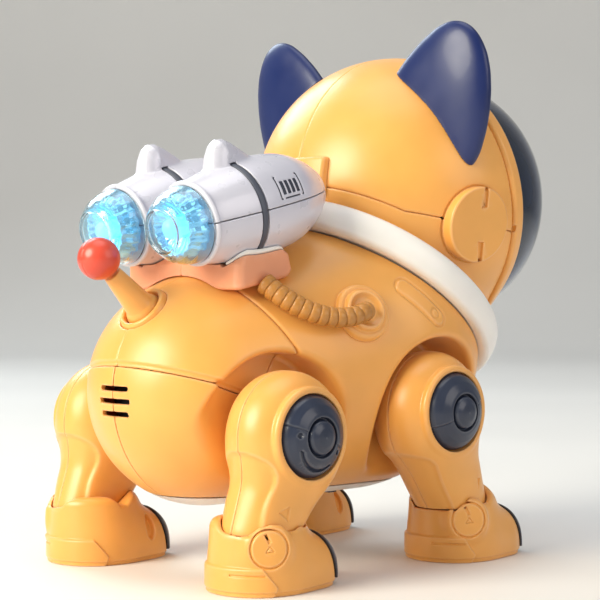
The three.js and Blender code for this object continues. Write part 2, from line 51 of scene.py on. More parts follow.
# ------------------------------------------------------------------------------------------------ dimensions, mm
RUMP, RUMP_R = (-54.0, 0.0, 67.0), 43.0
CHEST, CHEST_R = (18.0, 0.0, 80.0), 56.0
ARCHES = ((-54.0, 53.5, 28.5), (19.0, 58.0, 28.0))
ARCH_Y = 31.0
WALL = 2.2
NECK = np.array((32.6, 0.0, 102.2))
N_AX = np.array((math.sin(math.radians(36)), 0.0, math.cos(math.radians(36))))
HEAD, HEAD_R, JAW_R = np.array((51.8, 0.0, 141.4)), 57.2, 46.5
FACE = np.array((61.5, 0.0, 141.0))
TILT = math.radians(12.8)
F_AX = np.array((math.cos(TILT), 0.0, math.sin(TILT)))
F_UP = np.array((-math.sin(TILT), 0.0, math.cos(TILT)))
TAIL = np.array((-81.5, 0.0, 96.2))
TAIL_BALL = np.array((-103.0, 0.0, 115.6))
T_AX = (TAIL_BALL - TAIL) / np.linalg.norm(TAIL_BALL - TAIL)
POD_Y, POD_RISE = 19.0, math.radians(13)
POD_AT = np.array((-90.5, POD_Y, 124.9))
P_AX = np.array((math.cos(POD_RISE), 0.0, math.sin(POD_RISE)))
P_UP = np.array((-math.sin(POD_RISE), 0.0, math.cos(POD_RISE)))
POD_PROFILE = [(0, 8.6), (3.5, 11.6), (8, 13.2), (13, 14.4), (22, 16.4), (32, 18), (42, 18.5), (52, 18.1), (60, 16.9),
               (67, 14.2), (72.5, 10.8), (76.3, 6.4), (78, 0)]
POD_LIP, POD_END, BAND_AT = 13.2, 78.0, 34.5
LEGS = {"rear": dict(hub=(-58.9, 53.8), ankle=-72.0, foot=-63.6),
        "front": dict(hub=(17.0, 58.3), ankle=32.0, foot=40.6)}
LEG_Y, LEG_HALF, THIGH_R, THIGH_ROUND, SHIN_R, CAP_R = 49.0, 14.0, 22.5, 13.0, 13.6, 14.7
SHOE_Y = 46.0
EAR_IN, EAR_OUT, EAR_TIP = (np.array(v, float) for v in ((30.5, 20.5, 190), (36.5, 54, 151), (33, 50.4, 207)))
EAR_LINE = [(3, -10), (0.8, 0), (0, 9), (0.2, 17), (1.5, 26), (4, 31.5), (8, 35.3), (13, 36.9), (18, 36.6),
            (24, 34.8),
            (30, 31.2), (36, 26), (41, 20.5), (45.5, 14.2), (49.5, 7), (51, 2), (50, -10)]



# ------------------------------------------------------------------------------------------------ fields
def smin(a, b, k):
    return np.minimum(a, b) - np.maximum(k - np.abs(a - b), 0.0) ** 2 / (4 * k)


def smax(a, b, k):
    return -smin(-a, -b, k)


def dent(d, depth, width):
    return depth * np.exp(-((d / width) ** 2))


def step(d, width):
    return 0.5 - 0.5 * np.tanh(d / width)


def round_cone(p, a, b, r1, r2):
    a, ba = np.asarray(a, float), np.asarray(b, float) - np.asarray(a, float)
    l2, rr = ba @ ba, r1 - r2
    a2 = l2 - rr * rr
    pa = p - a
    y = pa @ ba
    z = y - l2
    x2 = ((pa * l2 - ba * y[:, None]) ** 2).sum(1)
    y2, z2 = y * y * l2, z * z * l2
    k = np.sign(rr) * rr * rr * x2
    d = (np.sqrt(x2 * a2 / l2) + y * rr) / l2 - r1
    d = np.where(np.sign(y) * a2 * y2 < k, np.sqrt(x2 + y2) / l2 - r1, d)
    return np.where(np.sign(z) * a2 * z2 > k, np.sqrt(x2 + z2) / l2 - r2, d)


def capsule(p, a, b):
    a, b = np.asarray(a, float), np.asarray(b, float)
    ba = b - a
    t = np.clip((p - a) @ ba / (ba @ ba), 0, 1)
    return np.linalg.norm(p - a - t[:, None] * ba, axis=1)


def rounded(a, b, r):
    """Two distances met with a round edge of radius r."""
    return np.minimum(np.maximum(a + r, b + r), 0) + np.hypot(np.maximum(a + r, 0), np.maximum(b + r, 0)) - r


def box3(p, centre, half, r):
    q = np.abs(p - np.asarray(centre)) - (np.asarray(half) - r)
    return np.minimum(q.max(1), 0) + np.linalg.norm(np.maximum(q, 0), axis=1) - r


def outline2(u, w, pts):
    """Signed distance to a closed outline."""
    best = np.full(len(u), 1e9)
    inside = np.zeros(len(u), bool)
    for i, (u1, w1) in enumerate(pts):
        u0, w0 = pts[i - 1]
        eu, ew = u1 - u0, w1 - w0
        k = np.clip(((u - u0) * eu + (w - w0) * ew) / (eu * eu + ew * ew), 0, 1)
        best = np.minimum(best, np.hypot(u - u0 - k * eu, w - w0 - k * ew))
        if w0 != w1:
            inside ^= ((w0 > w) != (w1 > w)) & (u < u0 + (w - w0) * eu / ew)
    return np.where(inside, -best, best)


def line_side(x, z, a, b):
    """Distance to the line from a to b in the x-z plane, positive on its left."""
    e = np.array((b[0] - a[0], b[1] - a[1]), float)
    e /= np.hypot(*e)
    return -(x - a[0]) * e[1] + (z - a[1]) * e[0]


def spline(points, n=400):
    """Dense, smooth radius curve through (s, r) points."""
    s, r = np.array(points, float).T
    t = np.linspace(s[0], s[-1], n)
    m = np.gradient(r, s)
    i = np.clip(np.searchsorted(s, t, side="right") - 1, 0, len(s) - 2)
    h = s[i + 1] - s[i]
    u = (t - s[i]) / h
    v = ((2 * u**3 - 3 * u**2 + 1) * r[i] + (u**3 - 2 * u**2 + u) * h * m[i]
         + (-2 * u**3 + 3 * u**2) * r[i + 1] + (u**3 - u**2) * h * m[i + 1])
    return t, v


def neck_height(p):
    return (p - NECK) @ N_AX


def face_height(p):
    return (p - FACE) @ F_AX


def torso_skin(p):
    return round_cone(p, RUMP, CHEST, RUMP_R, CHEST_R)


def rump_zone(p):
    x, z = p[:, 0], p[:, 2]
    groove = line_side(x, z, (-96, 77.4), (-76, 71.0))
    seam = line_side(x, z, (-46, 81.8), (-60.5, 109))
    under = line_side(x, z, (-56, 64.6), (-46, 81.8))
    return np.maximum(np.maximum(-groove, -seam), -under), groove, seam


def torso(p):
    x, y, z = p[:, 0], np.abs(p[:, 1]), p[:, 2]
    f = torso_skin(p)
    for cx, cz, r in ARCHES:
        recess = smax(np.hypot(x - cx, z - cz) - r, ARCH_Y - y, 2.5)
        f = smax(f, -recess, 3.2)
    _, _, seam = rump_zone(p)
    f = f + dent(seam, 0.45, 0.7) * step(-(z - 82), 1.5) * step(x + 43, 2)
    q = np.stack([x, y, z], 1)
    d = capsule(q, (4.3, 48.1, 105.2), (16.7, 54.3, 93.8))
    f = f + dent(d - 3.5, 0.55, 0.5) - 0.35 * step(d - 3.2, 0.4)
    d = np.linalg.norm(q - np.array((15.6, 53.8, 95.2)), axis=1)
    return f + dent(d - 1.9, 0.4, 0.4)


def torso_shell(p):
    x, y, z = p[:, 0], np.abs(p[:, 1]), p[:, 2]
    hollow = torso_skin(p) + WALL
    for cx, cz, r in ARCHES:
        hollow = np.maximum(hollow, WALL - np.maximum(np.hypot(x - cx, z - cz) - r, ARCH_Y - y))
    f = smax(torso(p), -hollow, 0.4)
    return smax(f, neck_height(p) + 6.2, 0.6)


def head_skin(p):
    d = neck_height(p)
    across = np.hypot((p - NECK) @ np.array((N_AX[2], 0, -N_AX[0])), p[:, 1]) - (JAW_R - 6)
    along = np.abs(d - 8) - 20
    jaw = np.minimum(np.maximum(across, along), 0) + np.hypot(np.maximum(across, 0), np.maximum(along, 0)) - 6
    return smin(np.linalg.norm(p - HEAD, axis=1) - HEAD_R, jaw, 4)


HEAD_SEAM = [(-30, 157), (-5.9, 145.4), (13, 134.1), (38, 129), (60, 127), (130, 125)]


def head_seam(p):
    return p[:, 2] - np.interp(p[:, 0], *np.array(HEAD_SEAM, float).T)


COLLAR_HOLE = 8.4
N_SIDE = np.array((N_AX[2], 0, -N_AX[0]))


def head_shell(p):
    skin, up = head_skin(p), neck_height(p)
    f = smax(skin, -1.5 - up, 1.2)
    f = smax(f, -np.maximum(skin + WALL, WALL - 1.5 - up), 0.4)
    hole = np.maximum(np.hypot((p - NECK) @ N_SIDE, p[:, 1]) - COLLAR_HOLE, up - 12)
    f = smax(f, -hole, 0.4)
    return smax(f, face_height(p) + 4.0, 0.5)


def ear_axes():
    base = EAR_OUT - EAR_IN
    u = base / np.linalg.norm(base)
    n = np.cross(base, EAR_TIP - EAR_IN)
    n /= np.linalg.norm(n)
    return u, np.cross(n, u), n


EAR_MID = np.array((26.0, 8.0))


def ear_radius():
    """Reach of the ear's outline from its middle at each angle, smoothed all the way round."""
    pts = np.array(EAR_LINE, float) - EAR_MID
    t = np.linspace(-np.pi, np.pi, 721)
    loop = np.vstack([pts, pts[:1]])
    dense = np.concatenate([loop[i] + np.linspace(0, 1, 60)[:,
                                                            None] * (loop[i + 1] - loop[i]) for i in range(len(pts))])
    th, r = np.arctan2(dense[:, 1], dense[:, 0]), np.hypot(*dense.T)
    order = np.argsort(th)
    r = np.interp(t, th[order], r[order], period=2 * np.pi)
    kernel = np.hanning(37) / np.hanning(37).sum()
    return t, np.convolve(np.concatenate([r[-37:-1], r, r[1:37]]), kernel, "same")[36:-36] * 1.015


EAR_T, EAR_R = ear_radius()
EAR_THICK = 6.2


def ear(p):
    u, w, n = ear_axes()
    q = p - EAR_IN
    a, b, c = q @ u - EAR_MID[0], q @ w - EAR_MID[1], q @ n
    k = np.hypot(a, b) / np.interp(np.arctan2(b, a), EAR_T, EAR_R)
    f = ((k**2.4 + (np.abs(c) / EAR_THICK) ** 2.1) ** (1 / 2.25) - 1) * 9.0
    f = f + dent(c - 2.9 * np.sign(n[0]), 0.3, 0.3)
    return smax(f, 0.15 - head_skin(p), 0.3)


def leg_shape(leg):
    (hx, hz), ax = leg["hub"], leg["ankle"]
    lean = np.sign(ax - hx)

    def field(p):
        x, y, z = p[:, 0], p[:, 1], p[:, 2]
        across = np.hypot(x - hx, z - hz) - (THIGH_R - THIGH_ROUND)
        along = np.abs(y - LEG_Y) - (LEG_HALF - THIGH_ROUND)
        thigh = np.minimum(np.maximum(across, along), 0) + np.hypot(np.maximum(across, 0),
                                                                    np.maximum(along, 0)) - THIGH_ROUND
        shin = round_cone(p, (hx, LEG_Y, hz - 7), (ax, LEG_Y - 1, 20), 18.0, SHIN_R)
        shin = smax(shin, np.abs(y - LEG_Y) - LEG_HALF + 0.6, 6)
        f = smin(thigh, shin, 7)
        u, w = (x - hx) * lean, z - hz
        rear = leg is LEGS["rear"]
        line = [(40, -5.2), (22, -5.2), (20.4, -6.4), (18.4, -8), (16.7, -10), (15.6, -12.5), (15.5, -15),
                (16.2, -17.6),
                (17.4, -20.2), (18.6, -23), (19.6, -26.5), (21, -34), (40, -38)]
        if not rear:
            line, u = [(-40, -15.3), (-19, -15.6), (-14.4, -16.9), (-11, -18), (-8.4, -19.8), (-5.5, -23.8),
                       (-2.2, -28.8),
                       (2.5, -35.6), (6, -42), (-40, -42)], x - hx
        panel = outline2(u, w, line)
        u = (x - hx) * lean
        f = f + 1.0 * step(panel, 0.4) * step(-(y - 36), 1.5)
        notch = outline2(u, w, [(9.6, -23.8), (13.8, -25.3),
                                (10.2, -28.4)] if rear else [(15.4, -26.5), (17.4, -26.8), (16.2, -30.4)])
        f = f + 0.7 * step(notch, 0.25) * step(-(y - 50), 1)
        return f
    return field


def shoe_shape(leg):
    fx, ax = leg["foot"], leg["ankle"]

    def field(p):
        x, y, z = p[:, 0], p[:, 1] - SHOE_Y, p[:, 2]
        q = np.abs(np.stack([(x - fx - 4) / 21, y / 17, (z - 3) / 17.5], 1))
        toe = ((q**2.6).sum(1) ** (1 / 2.6) - 1) * 15.5
        across = np.hypot(x - ax - 2.2, y) - 12.4
        along = np.abs(z) - 22.0
        cuff = np.minimum(np.maximum(across, along), 0) + np.hypot(np.maximum(across, 0), np.maximum(along, 0)) - 4.2
        f = smin(toe, cuff, 8)
        return f
    return field


# ------------------------------------------------------------------------------------------------ meshing
def evaluate(field, p):
    return np.concatenate([field(p[i:i + 300000]) for i in range(0, len(p), 300000)]) if len(p) else np.zeros(0)


def gradient(field, p, e=0.06):
    g = np.empty_like(p)
    for k in range(3):
        d = np.zeros(3)
        d[k] = e
        g[:, k] = evaluate(field, p + d) - evaluate(field, p - d)
    return g / (2 * e)


def net(field, lo, hi, h, rounds=3):
    """Quads on the zero surface of a field, by surface nets over blocks that the surface crosses."""
    block = 5
    lo, hi = np.array(lo, float), np.array(hi, float)
    size = h * block
    n = np.ceil((hi - lo) / size).astype(int) + 1
    axes = [lo[i] + size * (np.arange(n[i]) + 0.5) for i in range(3)]
    centres = np.stack(np.meshgrid(*axes, indexing="ij"), -1).reshape(-1, 3)
    near = (np.abs(evaluate(field, centres)) < size * 1.1 + 1.0).reshape(n)
    m = near.repeat(block, 0).repeat(block, 1).repeat(block, 2)
    mask = np.zeros([k + 1 for k in m.shape], bool)
    mask[:-1, :-1, :-1] = m
    for k in range(3):
        a = [slice(None)] * 3
        b = [slice(None)] * 3
        a[k], b[k] = slice(1, None), slice(0, -1)
        grown = mask.copy()
        grown[tuple(a)] |= mask[tuple(b)]
        mask = grown
    at = np.argwhere(mask)
    val = np.full(mask.shape, np.nan, np.float32)
    val[mask] = evaluate(field, lo + at * h)
    neg, ok = val < 0, mask
    corners = [(i, j, k) for i in (0, 1) for j in (0, 1) for k in (0, 1)]

    def corner(arr, c):
        return arr[tuple(slice(o, arr.shape[i] - 1 + o) for i, o in enumerate(c))]
    some = np.zeros([k - 1 for k in mask.shape], bool)
    every = np.ones_like(some)
    full = np.ones_like(some)
    for c in corners:
        v = corner(neg, c)
        some |= v
        every &= v
        full &= corner(ok, c)
    cells = np.argwhere(some & ~every & full)
    index = np.full(some.shape, -1, np.int32)
    index[tuple(cells.T)] = np.arange(len(cells))
    vals = np.stack([val[tuple((cells + c).T)] for c in corners], 1)
    total, count = np.zeros((len(cells), 3)), np.zeros(len(cells))
    for i, a in enumerate(corners):
        for j, b in enumerate(corners):
            if j > i and sum(abs(x - y) for x, y in zip(a, b)) == 1:
                cross = (vals[:, i] < 0) != (vals[:, j] < 0)
                with np.errstate(all="ignore"):
                    t = np.where(cross, vals[:, i] / (vals[:, i] - vals[:, j]), 0)
                pos = np.array(a) + t[:, None] * (np.array(b) - np.array(a))
                total += np.where(cross[:, None], pos, 0)
                count += cross
    p = lo + (cells + total / count[:, None]) * h
    for _ in range(rounds):
        g = gradient(field, p)
        f = evaluate(field, p)
        move = (f / np.maximum((g**2).sum(1), 0.05))[:, None] * g
        length = np.linalg.norm(move, axis=1, keepdims=True)
        p = p - move * np.minimum(1, 0.7 * h / np.maximum(length, 1e-9))
    quads = []
    for k in range(3):
        u, v = (k + 1) % 3, (k + 2) % 3
        a = [slice(None)] * 3
        b = [slice(None)] * 3
        a[k], b[k] = slice(0, -1), slice(1, None)
        va, vb = neg[tuple(a)], neg[tuple(b)]
        edge = (va != vb) & ok[tuple(a)] & ok[tuple(b)]
        e = np.argwhere(edge)
        inner = (e[:, u] > 0) & (e[:, v] > 0) & (e[:, u] < index.shape[u]) & (e[:, v] < index.shape[v])
        e = e[inner]
        down = va[tuple(e.T)]
        du, dv = np.zeros(3, int), np.zeros(3, int)
        du[u], dv[v] = 1, 1
        q = np.stack([index[tuple((e - du - dv).T)], index[tuple((e - dv).T)], index[tuple(e.T)],
                      index[tuple((e - du).T)]], 1)
        q = np.where(down[:, None], q, q[:, ::-1])
        quads.append(q[(q >= 0).all(1)])
    return p, np.concatenate(quads)


def build(name, verts, faces, normals=None):
    """A mesh object from millimetre vertices; normals shade it."""
    mesh = bpy.data.meshes.new(name)
    verts = np.asarray(verts, float) * 0.001
    faces = np.asarray(faces)
    mesh.vertices.add(len(verts))
    mesh.vertices.foreach_set("co", verts.ravel())
    mesh.loops.add(faces.size)
    mesh.loops.foreach_set("vertex_index", faces.ravel().astype(np.int32))
    mesh.polygons.add(len(faces))
    mesh.polygons.foreach_set("loop_start", np.arange(0, faces.size, faces.shape[1], dtype=np.int32))
    mesh.polygons.foreach_set("use_smooth", np.ones(len(faces), bool))
    mesh.update(calc_edges=True)
    mesh.validate()
    if normals is not None:
        mesh.normals_split_custom_set_from_vertices(normals.tolist())
    obj = bpy.data.objects.new(name, mesh)
    bpy.context.scene.collection.objects.link(obj)
    return obj


def carve(name, field, lo, hi, h, keep=1.0):
    """The solid inside a field, as a fine mesh, thinned to a share of its faces and shaded by the field."""
    h *= 1.0
    p, q = net(field, lo, hi, h)
    if keep < 1.0:
        rough = build(name + "_rough", p, q)
        mod = rough.modifiers.new("thin", "DECIMATE")
        mod.ratio = keep
        mesh = bpy.data.meshes.new_from_object(rough.evaluated_get(bpy.context.evaluated_depsgraph_get()))
        co = np.empty(len(mesh.vertices) * 3)
        mesh.vertices.foreach_get("co", co)
        p = co.reshape(-1, 3) * 1000
        mesh.calc_loop_triangles()
        tri = np.empty(len(mesh.loop_triangles) * 3, np.int32)
        mesh.loop_triangles.foreach_get("vertices", tri)
        q = tri.reshape(-1, 3)
        bpy.data.objects.remove(rough)
    g = gradient(field, p, 0.12)
    g /= np.maximum(np.linalg.norm(g, axis=1, keepdims=True), 1e-9)
    bend = -6.0 * evaluate(field, p)
    for k in range(3):
        d = np.zeros(3)
        d[k] = 0.7
        bend += evaluate(field, p + d) + evaluate(field, p - d)
    bend = np.clip(bend / 0.49, -2, 2)
    obj = build(name, p, q, g)
    edge_marks(obj, bend)
    return obj, (p, q, g, bend)


def edge_marks(obj, bend):
    """Stores how sharply the surface turns at each vertex, for the paler edges: rubbed wear and painted highlight."""
    obj.data.attributes.new("edge", "FLOAT", "POINT").data.foreach_set("value", bend.astype(np.float32))


FLIP = np.array((1.0, -1.0, 1.0))


def carve_pair(name, field, lo, hi, h, keep=1.0):
    """A piece modelled on the left and its mirror image on the right."""
    left, (p, q, g, bend) = carve(name + "_left", field, lo, hi, h, keep)
    right = build(name + "_right", p * FLIP, q[:, ::-1], g * FLIP)
    edge_marks(right, bend)
    return left, right


def turn(name, profile, at, axis, segments=96, closed=True, flute=(0, 0.0)):
    """A body of revolution from (radius, height) points; flute is how many shallow flutes it has and how deep."""
    pts = np.array(profile, float)
    axis = np.asarray(axis, float) / np.linalg.norm(axis)
    side = np.cross(axis, (0, 1, 0) if abs(axis[1]) < 0.9 else (1, 0, 0))
    side /= np.linalg.norm(side)
    other = np.cross(axis, side)
    ang = np.linspace(0, 2 * np.pi, segments, endpoint=False)
    rim = np.cos(ang)[:, None] * side + np.sin(ang)[:, None] * other
    verts, faces, rows = [], [], []
    for r, z in pts:
        base = np.asarray(at) + axis * z
        if r < 1e-6:
            rows.append([len(verts)] * segments)
            verts.append(base)
        else:
            rows.append(list(range(len(verts), len(verts) + segments)))
            verts.extend(base + r * rim * (1 + flute[1] * np.cos(flute[0] * ang))[:, None])
    n = len(rows)
    ring = pts[0][0] > 1e-6 or pts[-1][0] > 1e-6
    for i in range(n if ring and closed else n - 1):
        a, b = rows[i], rows[(i + 1) % n]
        for k in range(segments):
            j = (k + 1) % segments
            face = [a[k], a[j], b[j], b[k]]
            face = [v for m, v in enumerate(face) if v != face[m - 1]]
            if len(face) >= 3:
                faces.append(face)
    mesh = bpy.data.meshes.new(name)
    mesh.from_pydata([Vector(v) * 0.001 for v in verts], [], faces)
    area = sum((pts[i - 1][0] * pts[i][1] - pts[i][0] * pts[i - 1][1]) for i in range(n))
    if area < 0:
        mesh.flip_normals()
    mesh.polygons.foreach_set("use_smooth", np.ones(len(mesh.polygons), bool))
    obj = bpy.data.objects.new(name, mesh)
    bpy.context.scene.collection.objects.link(obj)
    return obj


def soften(points, radius, n=5, loop=False):
    """Rounds the corners of a profile."""
    pts = [np.array(p[:2], float) for p in points]
    radii = [p[2] if len(p) > 2 else radius for p in points]
    out = []
    last = len(pts) - 1
    for i, p in enumerate(pts):
        if not loop and i in (0, last) or radii[i] <= 0:
            out.append(tuple(p))
            continue
        a, b = pts[i - 1] - p, pts[(i + 1) % len(pts)] - p
        la, lb = np.linalg.norm(a), np.linalg.norm(b)
        c = min(radii[i], 0.45 * la, 0.45 * lb)
        s, e = p + a / la * c, p + b / lb * c
        for t in np.linspace(0, 1, n):
            out.append(tuple((1 - t) ** 2 * s + 2 * t * (1 - t) * p + t * t * e))
    return out


# ------------------------------------------------------------------------------------------------ materials
def srgb(hexa):
    c = [int(hexa[i:i + 2], 16) / 255 for i in (0, 2, 4)]
    return tuple(v / 12.92 if v <= 0.04045 else ((v + 0.055) / 1.055) ** 2.4 for v in c) + (1.0,)


def finish(name, colour, rough=0.4, vary=0.05, grain=0.05, wear_and_highlight=0.12, metal=0.0, coat=0.0, sheen=0.0, soft=0.0,
           clear=0.0, glow=None, strength=0.0, ior=1.46, scale=60.0, haze=0.12):
    """A moulded finish: mottled colour, fine grain, uneven polish, and convex edges made paler, partly as rubbed wear
    and partly as a painted highlight.
    """
    mat = bpy.data.materials.new(name)
    mat.use_nodes = True
    t = mat.node_tree
    n, link = t.nodes, t.links.new
    p = n["Principled BSDF"]
    where = n.new("ShaderNodeTexCoord").outputs["Object"]

    def noise(freq, detail, rough_):
        q = n.new("ShaderNodeTexNoise")
        q.inputs["Scale"].default_value = freq
        q.inputs["Detail"].default_value = detail
        q.inputs["Roughness"].default_value = rough_
        link(where, q.inputs["Vector"])
        return q.outputs["Fac"]

    def spread(fac, lo, hi):
        q = n.new("ShaderNodeMapRange")
        q.inputs["To Min"].default_value, q.inputs["To Max"].default_value = lo, hi
        q.inputs["From Min"].default_value, q.inputs["From Max"].default_value = 0.3, 0.7
        link(fac, q.inputs["Value"])
        return q.outputs["Result"]

    def mix(fac, a, b):
        q = n.new("ShaderNodeMix")
        q.data_type = "RGBA"
        link(fac, q.inputs[0])
        for socket, v in ((q.inputs[6], a), (q.inputs[7], b)):
            if isinstance(v, tuple):
                socket.default_value = v
            else:
                link(v, socket)
        return q.outputs[2]
    base = srgb(colour)
    dark = tuple(c * (1 - vary) for c in base[:3]) + (1.0,)
    pale = tuple(min(1.0, c * (1 + vary) + 0.004) for c in base[:3]) + (1.0,)
    body = mix(spread(noise(scale, 2, 0.5), 0, 1), dark, pale)
    # convex edges are blended towards a paler tone: partly rubbed wear, partly a painted highlight along the edges
    edge = n.new("ShaderNodeMapRange")
    edge.inputs["From Min"].default_value, edge.inputs["From Max"].default_value = 0.35, 1.2
    edge.inputs["To Max"].default_value = wear_and_highlight
    marks = n.new("ShaderNodeAttribute")
    marks.attribute_name = "edge"
    link(marks.outputs["Fac"], edge.inputs["Value"])
    rubbed_and_highlit = tuple(c + (1 - c) * 0.35 for c in base[:3]) + (1.0,)
    link(mix(edge.outputs["Result"], body, rubbed_and_highlit), p.inputs["Base Color"])
    link(spread(noise(scale * 2, 2, 0.5), rough - 0.04, rough + 0.05), p.inputs["Roughness"])
    bump = n.new("ShaderNodeBump")
    bump.inputs["Strength"].default_value = grain
    bump.inputs["Distance"].default_value = 0.0002
    link(noise(2600, 3, 0.6), bump.inputs["Height"])
    link(bump.outputs["Normal"], p.inputs["Normal"])
    p.inputs["Metallic"].default_value = metal
    p.inputs["IOR"].default_value = ior
    p.inputs["Coat Weight"].default_value = coat
    p.inputs["Coat Roughness"].default_value = haze
    p.inputs["Sheen Weight"].default_value = sheen
    p.inputs["Subsurface Weight"].default_value = soft
    p.inputs["Subsurface Radius"].default_value = (0.006, 0.003, 0.0015)
    p.inputs["Subsurface Scale"].default_value = 1.0
    p.inputs["Transmission Weight"].default_value = clear
    if glow:
        p.inputs["Emission Color"].default_value = srgb(glow)
        link(spread(noise(scale * 2, 2, 0.5), strength * 0.75, strength * 1.25), p.inputs["Emission Strength"])
    return mat


MATS = {
    "body": finish("shell_orange", "eca750", 0.36, 0.04, 0.05, 0.16, coat=0.25, sheen=0.08, soft=0.06, haze=0.3),
    "white": finish("trim_pale", "f0ece6", 0.34, 0.03, 0.05, 0.1, coat=0.15, soft=0.04),
    "navy": finish("ear_navy", "0a1e56", 0.36, 0.05, 0.04, 0.06, coat=0.15),
    "cap": finish("cap_slate", "282f42", 0.32, 0.06, 0.04, 0.1, coat=0.2),
    "inner": finish("inner_grey", "3a3d42", 0.55, 0.12, 0.12, 0.05),
    "circuit": finish("board_green", "1f5c3a", 0.45, 0.25, 0.1, 0.1, scale=300),
    "visor": finish("visor_smoke", "34496f", 0.04, 0.05, 0.0, 0.0, clear=0.9, coat=0.3, ior=1.45),
    "face": finish("face_grey", "4a5266", 0.35, 0.08, 0.06, 0.1, coat=0.2),
    "eye": finish("eye_glow", "8fe6ff", 0.25, 0.05, 0.02, 0.0, glow="6fdcff", strength=0.7, coat=0.5),
    "tail": finish("ball_coral", "cf4731", 0.3, 0.06, 0.05, 0.12, coat=0.2, soft=0.05),
    "pod": finish("pod_silver", "cdccd8", 0.3, 0.02, 0.03, 0.06, metal=0.12, coat=0.3),
    "ink": finish("gauge_ink", "23283a", 0.4, 0.1, 0.04, 0.05),
    "band": finish("band_slate", "474b58", 0.4, 0.1, 0.06, 0.1),
    "lens": finish("lens_clear", "d6f3ff", 0.03, 0.02, 0.0, 0.0, clear=0.97, ior=1.45, coat=0.4),
    "lamp": finish("lamp_blue", "d4f1ff", 0.12, 0.12, 0.02, 0.0, glow="3fb8ff", strength=1.5, coat=0.3, scale=160),
    # the dish's blue emission is a painted glow: the lamp's light in the reflector, painted on
    "dish": finish("dish_chrome", "bfe2f5", 0.14, 0.05, 0.02, 0.0, metal=0.8, coat=0.3, glow="5cc6ff",
                   strength=0.28, scale=200),
    "saddle": finish("saddle_apricot", "eba078", 0.38, 0.05, 0.06, 0.14, coat=0.1, soft=0.06),
    "hose": finish("hose_ochre", "b57c38", 0.38, 0.09, 0.08, 0.2, coat=0.12, soft=0.04),
}


def place(obj, body, look, *nodes):
    obj.data.materials.clear()
    obj.data.materials.append(MATS[look])
    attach(obj, body)
    if nodes:
        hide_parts(*nodes)
    return obj


def place_pair(pair, body, look, stem=None):
    for obj, side in zip(pair, ("left", "right")):
        place(obj, body.format(side), look, *([stem.format(side)] if stem else []))


# ------------------------------------------------------------------------------------------------ trunk
def cut(*fields):
    """The part of the first field that lies inside all the others."""
    def field(p):
        f = fields[0](p)
        for g in fields[1:]:
            f = smax(f, g(p), 0.35)
        return f
    return field


HALF, BELLY_Z = 0.16, 29.0


def rump_side(p):
    zone, _, _ = rump_zone(p)
    return smax(zone, p[:, 0] + 40, 0.1)


def rump_field(p):
    f = torso_shell(p)
    _, groove, _ = rump_zone(p)
    x, y, z = p.T
    f = f + 0.65 * step(groove - 1.9, 0.3) * step(x + 46, 3)
    f = f + dent(np.abs(y), 0.35, 0.3) * step(-(z - 55), 3)
    hole = 9.9 - np.linalg.norm(np.cross(p - TAIL, T_AX), axis=1)
    f = smax(f, np.maximum(hole, -14 - np.abs((p - TAIL) @ T_AX)), 0.5)
    return smax(f, rump_side(p) + 0.07, 0.7)


def flank_field(p):
    x, y, z = p.T
    f = smax(torso_shell(p), 0.06 - rump_side(p), 0.7)
    f = smax(f, HALF - y, 0.3)
    f = smax(f, BELLY_Z + 0.15 - z, 0.4)
    for vz, half in ((69.3, 7.4), (64.8, 8.4), (60.2, 7.4)):
        q = np.hypot(np.maximum(np.abs(y) - half + 0.9, 0), z - vz) - 0.9
        f = smax(f, -np.maximum(q, x + 80), 0.3)
    for leg in LEGS.values():
        hx, hz = leg["hub"]
        f = smax(f, 4.5 - np.hypot(x - hx, z - hz), 0.3)
    return f


place_pair(carve_pair("fine_flank", flank_field, (-100, -1, 26), (78, 62, 142), 0.62, 0.38), "trunk", "body",
           "torso_shell_{}")
place(carve("fine_rump", rump_field, (-100, -47, 58), (-40, 47, 120), 0.55, 0.45)[0], "trunk", "body", "rump_cover")


def belly_field(p):
    x, y, z = p.T
    f = smax(torso_shell(p), z - BELLY_Z + 0.15, 0.4)
    door = np.maximum(np.abs(x + 22) - 16.3, np.abs(y) - 11.3)
    f = smax(f, -door, 0.3)
    f = smax(f, -np.maximum(np.abs(x - 13) - 4.7, np.abs(y) - 2.5), 0.3)
    rim = np.abs(np.maximum(np.abs(x + 22) - 18.6, np.abs(y) - 13.6))
    return f + dent(rim, 0.45, 0.45)


def door_field(p):
    x, y, z = p.T
    f = smax(torso_shell(p), z - BELLY_Z + 0.15, 0.4)
    f = smax(f, np.maximum(np.abs(x + 22) - 15.9, np.abs(y) - 10.9), 0.5)
    for k in range(5):
        f = f + 0.4 * step(np.maximum(np.abs(x + 33 - 1.8 * k) - 0.5, np.abs(y) - 6), 0.2)
    d = np.hypot(x + 10.5, y)
    f = f + 0.6 * step(d - 2.3, 0.2) + 0.5 * step(np.minimum(np.maximum(np.abs(x + 10.5) - 0.35, np.abs(y) - 1.7),
                                                        np.maximum(np.abs(y) - 0.35, np.abs(x + 10.5) - 1.7)), 0.12)
    return f


place(carve("fine_belly", belly_field, (-75, -46, 21), (60, 46, 31), 0.5, 0.5)[0], "trunk", "white", "belly_pan")
place(carve("fine_door", door_field, (-40, -12, 20), (-4, 12, 31), 0.3, 0.6)[0], "battery_door", "white",
      "battery_door")


def switch_field(p):
    f = np.minimum(box3(p, (13, 0, 25.4), (2.1, 2.2, 2.5), 0.4), box3(p, (13, 0, 28.5), (3.8, 4.2, 0.9), 0.4))
    return f + 0.25 * step(np.abs(np.mod(p[:, 0] - 13 + 0.6, 1.2) - 0.6) - 0.25, 0.1) * step(p[:, 2] - 23.4, 0.1)


place(carve("fine_switch", switch_field, (8, -5, 22), (18, 5, 30), 0.16, 0.5)[0], "power_switch", "cap",
      "power_switch")

